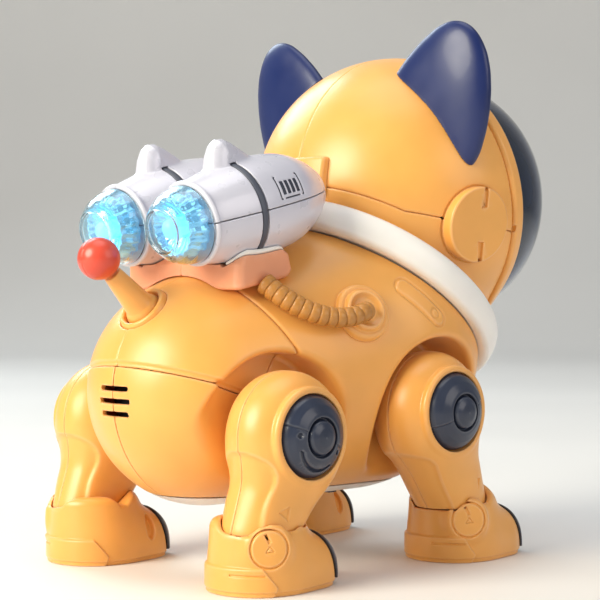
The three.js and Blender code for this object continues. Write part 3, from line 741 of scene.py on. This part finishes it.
collar_line = [(8.4, -3.4), (9.2, -2.7), (47.0, -2.7), (47.0, 0), (47.4, 4.2), (49.0, 5.9), (52.0, 6.4), (55.2, 6.2),
               (56.9, 5.0), (57.6, 2.4), (57.8, 0), (57.6, -2.4), (56.9, -5.0), (55.4, -6.0), (52.6, -6.0),
               (50.6, -5.3),
               (9.2, -5.2), (8.4, -4.5)]
place(turn("fine_collar", soften(collar_line, 1.3, 6, loop=True), NECK, N_AX, 192), "trunk", "white", "neck_collar")

socket_line = [(7.5, -4), (9.6, -4), (9.9, 1.4), (9.3, 3.0), (8.4, 3.5), (7.6, 3.0)]
place(turn("fine_tail_socket", soften(socket_line, 0.9, 5, loop=True), TAIL, T_AX, 96), "trunk", "body",
      "tail_socket")


# saddle that carries the pods, and the pale strips between
def pod_coords(p):
    q = np.stack([p[:, 0], np.abs(p[:, 1]), p[:, 2]], 1) - POD_AT
    s_ = q @ P_AX
    return s_, np.linalg.norm(q - s_[:, None] * P_AX, axis=1), q @ P_UP, q[:, 1]


POD_S, POD_R = spline(POD_PROFILE)


def pod_body(p):
    s_, r, _, _ = pod_coords(p)
    f = (r - np.interp(s_, POD_S, POD_R)) * 0.93
    return np.maximum(f, np.maximum(-s_, s_ - POD_END) * 0.7)


def saddle_foot(p, grow=0.0):
    x, y, z = p[:, 0], np.abs(p[:, 1]), p[:, 2]
    side = outline2(x, z, [(-64.9, 94), (-64.9, 113.4), (-62, 122), (-44.8, 122), (-38.6, 118), (-36.8, 111.8),
                           (-39.5, 106),
                           (-46, 94)])
    return rounded(side - grow, y - 31.6 - grow, 3.4)


def saddle_field(p):
    x, y, z = p[:, 0], np.abs(p[:, 1]), p[:, 2]
    f = smax(saddle_foot(p), 104.2 + (x + 64) * 0.19 - z, 2.4)
    _, _, _, side = pod_coords(p)
    f = smax(f, -(pod_body(p) - 0.3 - 1.2 * step(3 - side, 0.5)), 0.6)
    f = smax(f, z - 121.5, 0.5)
    f = smax(f, -(torso_skin(p) - 0.35), 0.6)
    return f + dent(y, 0.4, 0.35)


def trim_field(p):
    f = np.maximum(pod_body(p) - 1.3, 0.25 - pod_body(p))
    f = smax(f, saddle_foot(p, 0.4) + 0.3, 0.4)
    _, _, up, side = pod_coords(p)
    return smax(smax(f, up + 9.5, 0.3), 5.5 - side, 0.4)


place(carve("fine_saddle", saddle_field, (-67, -33, 92), (-32, 33, 124), 0.42, 0.5)[0], "trunk", "saddle",
      "pack_saddle")
place_pair(carve_pair("saddle_trim", cut(trim_field, lambda p: 1.2 - p[:, 1]), (-67, 0, 98), (-32, 33, 124),
                      0.3, 0.5), "trunk",
           "white")


# ------------------------------------------------------------------------------------------------ pods
def fin_field(p):
    x, y, z = p[:, 0], np.abs(p[:, 1]) - POD_Y, p[:, 2]
    edge = outline2(x, z, [(-69.3, 136), (-69.2, 148), (-68.6, 153), (-67.2, 156.6), (-65.0, 158.6), (-62.4, 159.0),
                           (-58.7, 157.9), (-53, 155.3), (-46, 151.8), (-38, 147), (-30, 140)])
    reach = 6.0
    taper = 5.0 + 1.0 * np.clip((154 - z) / 10, 0, 1.2)
    return (np.hypot(np.maximum(edge + reach, 0), np.abs(y) * reach / taper) - reach) * 0.7


def pod_outer(p):
    s_, r, _, _ = pod_coords(p)
    f = smin(pod_body(p), fin_field(p), 0.7)
    f = smax(f, POD_LIP - s_, 0.8)
    lip = np.hypot(s_ - POD_LIP - 0.9, np.maximum(np.abs(r - np.interp(s_, POD_S, POD_R)) - 0.1, 0)) - 0.9
    f = smin(f, lip, 0.4)
    at_band = np.interp(BAND_AT, POD_S, POD_R)
    band = np.maximum(np.abs(s_ - BAND_AT) - 1.55, np.maximum(at_band - 1.25 - r, r - at_band - 0.5))
    f = smax(f, -band, 0.3)
    core = (r - np.interp(s_, POD_S, POD_R)) + 2.0
    return smax(f, -np.maximum(core, np.maximum(POD_LIP + 2.5 - s_, s_ - POD_END + 2.5)), 0.3)


GAUGE_AT, GAUGE_TURN = 49.4, math.radians(69)


def gauge(p):
    """Distance to the printed level gauge: a frame open at the top and four bars."""
    s_, _, up, side = pod_coords(p)
    v = (np.arctan2(side, up) - GAUGE_TURN) * 18.0
    u = s_ - GAUGE_AT
    frame_ = np.maximum(np.abs(np.maximum(np.abs(u) - 5.9, np.abs(v) - 4.2)) - 0.28,
                        np.minimum(-3.2 - v, 5.0 - np.abs(u)))
    d = np.maximum(frame_, 0.6 - np.abs(np.abs(u) - 4.6))
    for k in range(4):
        d = np.minimum(d, np.maximum(np.abs(u + 3.6 - 2.4 * k) - 0.8, np.abs(v - 0.3) - 2.6))
    return d


def pod_up(p):
    _, _, up, _ = pod_coords(p)
    f = smax(pod_outer(p), 0.17 - up, 0.25)
    return f + 0.35 * step(gauge(p), 0.12)


def pod_down(p):
    _, _, up, _ = pod_coords(p)
    return smax(pod_outer(p), up + 0.17, 0.25)


lo, hi = (-85, 0, 108), (-5, 39, 161)
place_pair(carve_pair("fine_pod_top", cut(pod_up, lambda p: -p[:, 1]), lo, hi, 0.4, 0.4), "trunk", "pod",
           "pod_upper_{}")
place_pair(carve_pair("fine_pod_base", cut(pod_down, lambda p: -p[:, 1]), lo, hi, 0.42, 0.4), "trunk", "pod",
           "pod_lower_{}")


def ink_field(p):
    """The print itself, a skin lying in the engraved marks."""
    s_, r, _, _ = pod_coords(p)
    skin = r - np.interp(s_, POD_S, POD_R)
    return np.maximum(np.maximum(skin + 0.08, -skin - 0.5), gauge(p) + 0.08)


place_pair(carve_pair("pod_gauge", ink_field, (-52, 26, 120), (-28, 39, 148), 0.17, 0.6), "trunk", "ink")


def mirror(obj, name):
    mesh = obj.data.copy()
    mesh.transform(Matrix.Diagonal((1, -1, 1, 1)))
    mesh.flip_normals()
    twin = bpy.data.objects.new(name, mesh)
    bpy.context.scene.collection.objects.link(twin)
    return twin


def turn_pair(name, profile, at, axis, segments=96, **more):
    left = turn(name + "_left", profile, at, axis, segments, **more)
    return left, mirror(left, name + "_right")


band_r = float(np.interp(BAND_AT, POD_S, POD_R))
band_line = [(band_r + r, BAND_AT + s_) for r, s_ in ((-1.1, -1.3), (-0.15, -1.3), (0.2, -0.7), (0.25, 0), (0.2, 0.7),
                                                      (-0.15, 1.3), (-1.1, 1.3))]
place_pair(turn_pair("fine_band", soften(band_line, 0.3, 4, loop=True), POD_AT, P_AX, 128), "trunk", "band",
           "pod_band_{}")

lens_line = [(0, 0.5), (7.4, 0.5), (7.9, 0.1), (8.4, 0.1), (8.9, 0.6), (10.1, 1.8), (12.1, 4.4), (13.6, 8),
             (14.5, 12.9),
             (13.1, 12.9), (12.3, 8.2), (10.8, 4.9), (8.8, 2.6), (7.9, 1.9), (0, 1.9)]
place_pair(turn_pair("fine_lens", soften(lens_line, 0.5, 4), POD_AT, P_AX, 160), "trunk", "lens", "nozzle_lens_{}")
lamp_line = [(0, 2.8), (1.6, 3.0), (2.9, 3.8), (3.7, 5.0), (3.9, 6.6), (3.4, 8.2), (3.4, 12.7), (0, 12.7)]
place_pair(turn_pair("fine_lamp", soften(lamp_line, 0.6, 5), POD_AT, P_AX, 96), "trunk", "lamp", "nozzle_lamp_{}")
dish_line = [(3.7, 10.2), (5.4, 9.4), (7.6, 7.6), (9.2, 5.2), (9.7, 5.2), (9.6, 7.4), (10.9, 9.6), (11.2, 12.7),
             (3.7, 12.7)]
place_pair(turn_pair("lamp_dish", soften(dish_line, 0.5, 4, loop=True), POD_AT, P_AX, 144, flute=(18, 0.035)),
           "trunk", "dish")


# ------------------------------------------------------------------------------------------------ hoses
PORT, PORT_AX = np.array((-16.8, 46.4, 95.7)), np.array((-0.249, 0.892, 0.378))
PORT_LINE = [(0, 2.6), (5.0, 2.9), (5.9, 3.5), (6.6, 4.2), (7.3, 4.2), (7.9, 3.5), (8.1, 2.6), (8.5, 2.2), (9.6, 2.4),
             (10.5, 1.8), (11.0, 0.6), (11.2, -0.8), (11.2, -9)]


def port_field(p):
    q = p - PORT
    h = q @ PORT_AX
    r = np.linalg.norm(q - h[:, None] * PORT_AX, axis=1)
    pts = np.array(soften(PORT_LINE, 0.5, 4))
    f = outline2(r, h, [(0, -9)] + [tuple(v) for v in pts])
    return smax(f, -(torso_skin(p) - 0.12), 0.2)


place_pair(carve_pair("fine_port", port_field, (-32, 36, 80), (-2, 60, 112), 0.28, 0.5), "trunk", "body",
           "hose_port_{}")

HOSE_PATH = [(-52.6, 31.4, 107.2), (-48.8, 38.2, 101.6), (-41.9, 44.2, 96.8), (-32.9, 48.6, 94.4),
             (-25.6, 50.9, 94.9),
             (-20.6, 51.0, 96.2), (-17.4, 49.6, 96.6)]


def hose_mesh(name, rings=14, segments=40):
    """Overlapping cuffs along the path, each a short bell seated in the next."""
    key = np.array(HOSE_PATH)
    t = np.concatenate([[0], np.cumsum(np.linalg.norm(np.diff(key, axis=0), axis=1))])
    fine = np.linspace(0, t[-1], 600)
    line = np.stack([np.interp(fine, *spline(list(zip(t, key[:, k])), 600)) for k in range(3)], 1)
    length = fine[-1]
    shape = [(0.0, 3.1), (0.04, 3.55), (0.12, 3.85), (0.3, 4.0), (0.6, 3.95), (0.85, 3.8), (0.95, 3.6), (1.0, 3.1)]
    verts, faces = [], []
    rows = 0
    for k in range(rings):
        for u, r in shape[:-1] if k < rings - 1 else shape:
            s_ = (k + u) / rings * length
            at = np.array([np.interp(s_, fine, line[:, i]) for i in range(3)])
            tan = np.array([np.interp(s_ + 0.6, fine,
                                      line[:, i]) - np.interp(s_ - 0.6, fine, line[:, i]) for i in range(3)])
            tan /= np.linalg.norm(tan)
            side = np.cross(tan, (0, 0, 1))
            side /= np.linalg.norm(side)
            up = np.cross(side, tan)
            ang = np.linspace(0, 2 * np.pi, segments, endpoint=False)
            wide = r * (1.0 - 0.1 * k / rings)
            verts.append(at + wide * (np.cos(ang)[:, None] * side + np.sin(ang)[:, None] * up))
            rows += 1
    v = np.concatenate(verts)
    for i in range(rows - 1):
        for k in range(segments):
            j = (k + 1) % segments
            faces.append((i * segments + k, i * segments + j, (i + 1) * segments + j, (i + 1) * segments + k))
    start, end = len(v), len(v) + 1
    v = np.concatenate([v, [v[:segments].mean(0)], [v[-segments:].mean(0)]])
    last = (rows - 1) * segments
    for k in range(segments):
        j = (k + 1) % segments
        faces.append((start, j, k))
        faces.append((end, last + k, last + j))
    mesh = bpy.data.meshes.new(name)
    mesh.from_pydata([Vector(q) * 0.001 for q in v], [], faces)
    mesh.polygons.foreach_set("use_smooth", np.ones(len(faces), bool))
    obj = bpy.data.objects.new(name, mesh)
    bpy.context.scene.collection.objects.link(obj)
    return obj


hose = hose_mesh("fine_hose_left")
place_pair((hose, mirror(hose, "fine_hose_right")), "trunk", "hose", "pack_hose_{}")


# ------------------------------------------------------------------------------------------------ tail
tail_len = float(np.linalg.norm(TAIL_BALL - TAIL))
ang = np.radians(np.linspace(-90, 34, 14))
stalk_line = [(7.1 * math.cos(t) if t > -1.57 else 0.0, 7.1 * math.sin(t)) for t in ang]
stalk_line += [(5.5, 4.5), (5.1, 6.6), (4.6, 11), (3.9, 17), (3.5, tail_len - 8.6), (3.3, tail_len - 7.9),
               (0, tail_len - 7.9)]
stalk_line[0] = (0.0, -7.1)
place(turn("fine_stalk", soften(stalk_line, 0.6, 4), TAIL, T_AX, 96), "tail", "body", "tail_stalk")


def ball_field(p):
    q = p - TAIL_BALL
    r = np.linalg.norm(q, axis=1)
    f = r - 7.6 + dent(q[:, 1], 0.22, 0.16)
    return smax(f, -(q @ T_AX) - 6.9, 0.5)


place(carve("fine_ball", ball_field, TAIL_BALL - 9, TAIL_BALL + 9, 0.28, 0.6)[0], "tail", "tail", "tail_ball")


# ------------------------------------------------------------------------------------------------ head
def latch_block(p, grow=0.0):
    x, y, z = p[:, 0], np.abs(p[:, 1]), p[:, 2]
    return rounded(rounded(y - 15 - grow, np.maximum(x - 12, np.abs(z - 148.5) - 7 - grow), 1.4),
                   head_skin(p) - 3.2 - grow, 1.2)


def head_top(p):
    x, y, z = p.T
    s_ = head_seam(p)
    f = smax(head_shell(p), 0.08 - s_, 0.8)
    f = f + dent(y, 0.28, 0.24) * step(-(z - 130), 2) * step(x - 62, 2)
    rim = np.linalg.norm(np.cross(np.stack([x, np.abs(y), z], 1) - DISC, DISC_AX), axis=1) - DISC_R
    return f + dent(rim, 0.5, 0.5) * step(-(np.abs(y) - 30), 2)


def head_low(p):
    x, y, z = p.T
    s_ = head_seam(p)
    f = smax(head_shell(p), s_ + 0.08, 0.9)
    rim = np.linalg.norm(np.cross(np.stack([x, np.abs(y), z], 1) - DISC, DISC_AX), axis=1) - DISC_R
    return f + dent(rim, 0.5, 0.5) * step(-(np.abs(y) - 30), 2)


DISC, DISC_R = np.array((39.2, 56.2, 129.0)), 14.75
DISC_AX = np.array((-0.14, 0.975, -0.15)) / np.linalg.norm((-0.14, 0.975, -0.15))
place(carve("fine_head_top", head_top, (-10, -62, 118), (72, 62, 202), 0.62, 0.3)[0], "head", "body",
      "head_shell_upper")
place(carve("fine_head_low", head_low, (-10, -62, 66), (90, 62, 162), 0.62, 0.33)[0], "head", "body",
      "head_shell_lower")


def latch_field(p):
    f = latch_block(p)
    return smax(f, -(head_skin(p) - 0.12), 0.3)


place(carve("fine_latch", latch_field, (-12, -20, 138), (14, 20, 158), 0.32, 0.5)[0], "head", "body", "head_latch")


VISOR, V_AX = np.array((61.5, 0.0, 140.0)), np.array((math.cos(math.radians(4)), 0.0, math.sin(math.radians(4))))


def bubble(p, depth=50.0, r=51.6, power=2.5, up=0.0):
    """Round superellipsoid of the visor, about its own axis."""
    q = p - VISOR - np.array((0, 0, up))
    along = q @ V_AX
    across = np.linalg.norm(q - along[:, None] * V_AX, axis=1)
    return (((np.abs(along) / depth) ** power + (across / r) ** power) ** (1 / power) - 1) * r * 0.97


def bezel_field(p):
    skin, h = head_skin(p), face_height(p)
    low = skin + 1.4 + 1.5 * step(178 - p[:, 2], 9)
    ridge = np.hypot(np.maximum(np.abs(h + 0.2) - 1.7, 0), np.maximum(np.abs(low) - 1.0, 0)) - 1.9
    mark = box3(np.stack([p[:, 0], np.abs(p[:, 1]), p[:, 2]], 1), (60, 56.5, 128), (1.6, 2.5, 1.2), 0.4)
    ridge = smax(ridge, -mark, 0.3)
    return smax(ridge, 0.35 - np.maximum(bubble(p), -0.85 - h), 0.4)


place(carve("fine_bezel", bezel_field, (40, -60, 70), (92, 60, 204), 0.5, 0.45)[0], "head", "body", "face_bezel")

def visor_field(p):
    f = bubble(p)
    return smax(np.maximum(f, -f - 1.8), -0.5 - face_height(p), 0.5)


place(carve("fine_visor", visor_field, (48, -54, 84), (114, 54, 196), 0.62, 0.5)[0], "head", "visor", "visor")


def face_coords(p):
    q = p - FACE
    return q[:, 1], q @ F_UP, q @ F_AX


def plate_field(p):
    u, v, h = face_coords(p)
    plate = np.maximum(np.maximum(head_skin(p) + 4.9, h + 1.0), -3.4 - h)

    def lump(mid, half, wide, deep):
        n = (np.abs(u) / wide) ** 2.5 + (np.abs(v - mid) / half) ** 2.5 + (np.abs(h + 1) / deep) ** 2.5
        return (n ** 0.4 - 1) * half
    f = smin(lump(15, 30, 47, 47), lump(-16, 27, 46, 47), 2.0)
    f = smax(f, np.maximum(-3.4 - h, bubble(p) + 3.4), 0.5)
    for side in (1, -1):
        socket = np.hypot(u - 19 * side, v - 16) - 12.0
        f = smax(f, -np.maximum(socket, 30 - h), 0.8)
    nose = box3(np.stack([u, v, h], 1), (0, -4, 43.5), (6.0, 3.4, 3.0), 2.6)
    f = smin(f, nose, 0.8)
    f = smin(f, plate, 0.6)
    front = step(24 - h, 1)
    f = f + dent(np.maximum(np.abs(u), np.abs(v + 11) - 4), 0.6, 0.5) * front
    smile = np.abs(np.hypot(np.abs(u) - 6.5, v + 15) - 6.5)
    return f + dent(smile, 0.6, 0.5) * step(v + 16, 0.6) * front


place(carve("fine_face", plate_field, (40, -57, 76), (112, 57, 202), 0.6, 0.45)[0], "head", "face", "face_plate")


def frame_point(u, v, h):
    return FACE + np.array((0, u, 0)) + F_UP * v + F_AX * h


eye_line = [(0, 28), (11.4, 28), (11.4, 33.5), (10.8, 34.6), (9.0, 36.2), (5.6, 37.3), (0, 37.8)]
place_pair(turn_pair("fine_eye", soften(eye_line, 0.8, 6), frame_point(19, 16, 0), F_AX, 96), "head", "eye", "eye_{}")


place_pair(carve_pair("fine_ear", ear, (12, 18, 138), (62, 72, 212), 0.42, 0.5), "head", "navy", "ear_{}")


def disc_field(p):
    q = p - DISC
    h = q @ DISC_AX
    r = np.linalg.norm(q - h[:, None] * DISC_AX, axis=1)
    top = smin(h, head_skin(p) - 0.55, 1.0)
    f = rounded(r - DISC_R, top, 0.9)
    side = np.cross(DISC_AX, (0, 0, 1.0))
    side /= np.linalg.norm(side)
    up = np.cross(side, DISC_AX)
    a_, b_ = q @ side * -1, q @ up
    for sgn in (1, -1):
        slot_ = outline2(a_, b_ * sgn, [(-2.9, 14.1), (-1.1, 14.3), (-0.2, 6.6), (-2.9, 6.9)])
        f = f + 1.3 * step(slot_, 0.16)
    return smax(f, -(head_skin(p) - 0.1), 0.2)


place_pair(carve_pair("fine_ear_disc", disc_field, (20, 40, 112), (56, 66, 146), 0.3, 0.5), "head", "body",
           "ear_disc_{}")


# ------------------------------------------------------------------------------------------------ legs
def disc_frame(leg):
    """Centre and axis of the round badge on the outer rear quarter of a shoe."""
    cx = leg["ankle"] + 2.7
    ax = np.array((-0.483, 0.875, 0.0))
    ax /= np.linalg.norm(ax)
    return np.array((cx, 45.5, 16.6)), ax


def leg_solid(leg):
    (hx, hz) = leg["hub"]
    base = leg_shape(leg)

    def field(p):
        x, y, z = p[:, 0], p[:, 1], p[:, 2]
        f = base(p)
        r = np.hypot(x - hx, z - hz)
        lip = np.hypot(r - CAP_R - 1.35, y - 61.9) - 1.5
        f = smin(f, lip, 1.2)
        f = smax(f, -np.maximum(r - CAP_R - 0.35, 60 - y), 0.25)
        f = smax(f, LEG_FOOT - z, 0.6)
        f = smax(f, np.minimum(np.hypot(x - leg["ankle"], y - 47) - LEG_TIP_R, LEG_NECK - z), 0.5)
        peg = np.maximum(np.hypot(x - leg["ankle"], y - 47.5) - 4.6, z - 40)
        return smax(f, -peg, 0.3)
    return field


LEG_FOOT, LEG_TIP_R, LEG_NECK = 15.6, 10.6, 20.6


def leg_wall(leg):
    solid, base = leg_solid(leg), leg_shape(leg)
    hx, hz = leg["hub"]

    def field(p):
        x, y, z = p[:, 0], p[:, 1], p[:, 2]
        f = solid(p)
        hollow = np.maximum(base(p) + 2.6, LEG_FOOT + 2.4 - z)
        r = np.hypot(x - hx, z - hz)
        hollow = np.maximum(hollow, np.minimum(8.0 - r, 57 - y) * 1.0)
        hollow = np.maximum(hollow, np.minimum(CAP_R + 2.4 - r, y - 56.5))
        peg = 6.8 - np.hypot(x - leg["ankle"], y - 47.5)
        hollow = np.maximum(hollow, np.minimum(peg, 42 - z))
        return smax(f, -hollow, 0.4)
    return field


def shoe_solid(leg):
    fx, ax_ = leg["foot"], leg["ankle"]
    leg_base, shoe = leg_shape(leg), shoe_shape(leg)
    centre, axis = disc_frame(leg)
    cx = ax_ + 2.7
    reach = 17.8 if leg is LEGS["rear"] else 19.3
    profile = np.array([(-60, 22), (-13.6, 21.6), (-10.8, 21.4), (-8, 24), (-5, 25.6), (-1, 24.8),
                        (2.5, 22), (6, 22.3), (10, 25), (14, 28.6), (17, 29.6), (20, 29.2), (60, 29.2)])

    def field(p):
        x, y, z = p[:, 0], p[:, 1], p[:, 2]
        f = shoe(p)
        q = p - centre
        h = q @ axis
        r = np.linalg.norm(q - h[:, None] * axis, axis=1)
        boss = rounded(r - 8.6, np.maximum(h - reach, -h), 2.4)
        f = smin(f, boss, 3.2)
        # tongue that rises in front of the shin
        tongue = np.sqrt(((x - ax_ - 10) / 9.0) ** 2 + ((y - SHOE_Y) / 12.0) ** 2 + ((z - 15) / 18.0) ** 2) - 1
        f = smin(f, tongue * 9.0, 3.0)
        top = np.interp(x - ax_, profile[:, 0], profile[:, 1])
        top = top + (26.3 - top) * step(y - SHOE_Y + 3, 2.5) * step(x - ax_, 3)
        f = smax(f, (z - top) * 0.85, 1.6)
        tip = np.minimum(np.hypot(x - ax_, y - 47) - LEG_TIP_R, LEG_NECK - z)
        sock = np.maximum(np.maximum(leg_base(p), tip) - 0.3, LEG_FOOT - 0.3 - z)
        f = smax(f, -sock, 0.5)
        # heel band
        band = outline2(x - cx, z, [(-60, -4), (-60, 9.6), (-11.3, 9.9), (-6.5, 3.4), (-8.0, -4)])
        f = f - 0.75 * step(band, 0.28) + 0.15
        slit = np.maximum(np.abs(z - 7.4) - 0.28, np.abs(x - cx + 14.0) - 3.4)
        f = f + 0.45 * step(slit, 0.15) * step(-(y - SHOE_Y), 1)
        # badge
        f = f + dent(r - 6.6, 0.75, 0.34) * step(-h + 8, 1)
        side = (q[:, 0] * axis[1] - q[:, 1] * axis[0])
        a1, a2 = side, z - 16.6
        bar = outline2(a1, a2, [(-1.9, 4.9), (-0.9, 5.2), (0.6, 2.2), (-0.3, 1.8)])
        tri = outline2(a1, a2, [(0.1, 0.9), (-1.2, -1.3), (1.6, -1.0)])
        front = step(-h + 8, 1)
        f = f + 0.55 * step(bar, 0.14) * front + dent(tri, 0.4, 0.2) * front
        # oval recess on the inner side
        oval = np.hypot((x - fx - 9.5) / 2.3, (z - 12.5) / 4.4) - 1
        f = f + 1.6 * step(oval * 2.3, 0.3) * step(y - 38, 1)
        # sole rim
        f = f + 0.5 * step(z - 1.6, 0.25)
        return smax(f, -z, 0.6)
    return field


def cap_plane(leg):
    return lambda p: 15.6 + 0.22 * (22 - p[:, 2]) - (p[:, 0] - leg["foot"])


def shoe_main(leg):
    solid, plane = shoe_solid(leg), cap_plane(leg)

    def field(p):
        f = solid(p)
        return smax(f, -np.maximum(plane(p) - 0.3, -2.2 - f), 0.3)
    return field


def toe_cap(leg):
    solid, plane = shoe_solid(leg), cap_plane(leg)

    def field(p):
        f = solid(p)
        skin = np.maximum(f - 0.75, -1.9 - f)
        f = smax(skin, plane(p) + 0.25, 0.8)
        f = smax(f, 2.4 - p[:, 2], 0.6)
        return smax(f, p[:, 2] - 19.5, 0.6)
    return field


def hub_shape(leg, extra):
    (hx, hz), ax_ = leg["hub"], leg["ankle"]
    down = np.array((ax_ - hx, 20 - hz)) / math.hypot(ax_ - hx, 20 - hz)
    across = np.array((-down[1], down[0]))
    line = np.array(soften([(0, 6.9), (3.4, 6.6), (5.5, 5.7), (6.1, 4.7), (6.2, 3.4), (6.9, 3.4), (7.1, 5.2),
                            (8.6, 4.9),
                            (11.4, 3.5), (13.6, 1.5), (14.6, -0.4), (14.7, -1.2), (14.7, -2.7), (0, -2.7)],
                            0.45, 4, loop=False))

    def field(p):
        u, w, h = p[:, 0] - hx, p[:, 2] - hz, p[:, 1] - 63.0
        r = np.hypot(u, w)
        f = outline2(r, h, [tuple(v) for v in line])
        a1, a2 = u * across[0] + w * across[1], -(u * down[0] + w * down[1])
        outer = step(7.3 - r, 0.2)
        f = f + 0.28 * step(a2 + 0.2, 0.16) * outer + dent(a2 + 0.2, 0.3, 0.2) * outer
        if extra:
            for c in (-9.4, 9.6):
                f = f + 0.8 * step(np.hypot(a1 - c, a2 + 2.4) - 0.85, 0.15)
            arc = np.abs(np.hypot(a1 - 1.0, a2 + 2.4) - 8.9) - 0.5
            f = f + 0.9 * step(np.maximum(arc, a2 + 7.2), 0.15)
        return f
    return field


def beside(field, side):
    return cut(field, lambda p: (p[:, 1] - LEG_Y) * -side + 0.07)


for place_name, leg in LEGS.items():
    hx, hz = leg["hub"]
    x0, x1 = min(hx - 24, leg["ankle"] - 17), max(hx + 24, leg["ankle"] + 17)
    body = "leg_" + place_name + "_{}"
    wall = leg_wall(leg)
    lo, hi = (x0, 31, 14), (x1, 66, hz + 24)
    place_pair(carve_pair("fine_leg_out_" + place_name, beside(wall, 1), lo, hi, 0.5, 0.42), body, "body",
               "leg_outer_" + place_name + "_{}")
    axle = lambda p, f=beside(wall, -1), hx=hx, hz=hz: np.minimum(
        f(p), rounded(np.hypot(p[:, 0] - hx, p[:, 2] - hz) - 4, np.maximum(22.5 - p[:, 1], p[:, 1] - 40), 0.4))
    lo = (x0, 21, 14)
    place_pair(carve_pair("fine_leg_in_" + place_name, axle, lo, hi, 0.55, 0.4), body, "body",
               "leg_inner_" + place_name + "_{}")
    place_pair(carve_pair("fine_hub_" + place_name, hub_shape(leg, place_name == "rear"), (hx - 16, 59, hz - 16),
                          (hx + 16, 71, hz + 16), 0.28, 0.5), body, "cap", "hub_cap_" + place_name + "_{}")
    fx = leg["foot"]
    lo, hi = (fx - 28, 26, -1.5), (fx + 30, 67, 29)
    place_pair(carve_pair("fine_shoe_" + place_name, shoe_main(leg), lo, hi, 0.42, 0.42), body, "body",
               "shoe_" + place_name + "_{}")
    place_pair(carve_pair("toe_cap_" + place_name, toe_cap(leg), lo, hi, 0.36, 0.5), body, "cap")

# ------------------------------------------------------------------------------------------------ parts kept from the frame
for node, look, slot_ in (("neck_pivot", "inner", "inner"), ("drive_gearbox", "inner", "inner"),
                          ("battery_pack", "inner", "inner"),
                          ("circuit_board", "circuit", "circuit"), ("speaker", "inner", "inner")):
    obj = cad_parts[node]
    obj.data.materials.clear()
    obj.data.materials.append(MATS[look])

# ------------------------------------------------------------------------------------------------ floor and light
floor_mat = finish("floor_pale", "e9e6e2", 0.5, 0.015, 0.02, 0.0, scale=3)


def sweep():
    """Floor that curves up into a backdrop, turned to face the camera."""
    prof = [(-3.0, 0.0), (1.6, 0.0)] + [(1.6 + 0.8 * math.sin(t),
                                         0.8 - 0.8 * math.cos(t)) for t in np.linspace(0.1, 1.57, 14)]
    prof += [(2.4, 3.0)]
    head = math.radians(90 - HEADING)
    d, s_ = np.array((math.cos(head), math.sin(head))), np.array((-math.sin(head), math.cos(head)))
    verts, faces = [], []
    for a_, z in prof:
        for b_ in (-3.5, 3.5):
            verts.append((*(d * a_ + s_ * b_), z))
    for i in range(len(prof) - 1):
        faces.append((2 * i, 2 * i + 2, 2 * i + 3, 2 * i + 1))
    mesh = bpy.data.meshes.new("floor")
    mesh.from_pydata(verts, [], faces)
    mesh.polygons.foreach_set("use_smooth", np.ones(len(faces), bool))
    mesh.materials.append(floor_mat)
    obj = bpy.data.objects.new("floor", mesh)
    bpy.context.scene.collection.objects.link(obj)
    return obj


sweep()


def light(name, at, target, size, power, colour):
    data = bpy.data.lights.new(name, "AREA")
    data.shape, data.size = "DISK", size
    data.energy, data.color = power, colour
    obj = bpy.data.objects.new(name, data)
    bpy.context.scene.collection.objects.link(obj)
    obj.location = at
    obj.rotation_euler = (Vector(target) - Vector(at)).to_track_quat("-Z", "Y").to_euler()


AIM = (0, 0, 0.09)
light("key", (-1.25, 0.2, 0.7), AIM, 0.9, 27, (1.0, 0.95, 0.8))
light("fill", (0.35, -1.5, 0.75), AIM, 1.1, 6.5, (1.0, 0.93, 0.86))
light("rim", (0.2, 1.3, 1.1), AIM, 0.9, 12, (0.82, 0.93, 1.0))
light("top", (0.0, 0.0, 1.6), AIM, 1.2, 7, (1.0, 1.0, 1.0))
world = bpy.data.worlds.new("studio")
world.use_nodes = True
world.node_tree.nodes["Background"].inputs["Color"].default_value = (0.82, 0.88, 0.95, 1)
world.node_tree.nodes["Background"].inputs["Strength"].default_value = 0.36
bpy.context.scene.world = world
bpy.context.scene.view_settings.view_transform = "Standard"
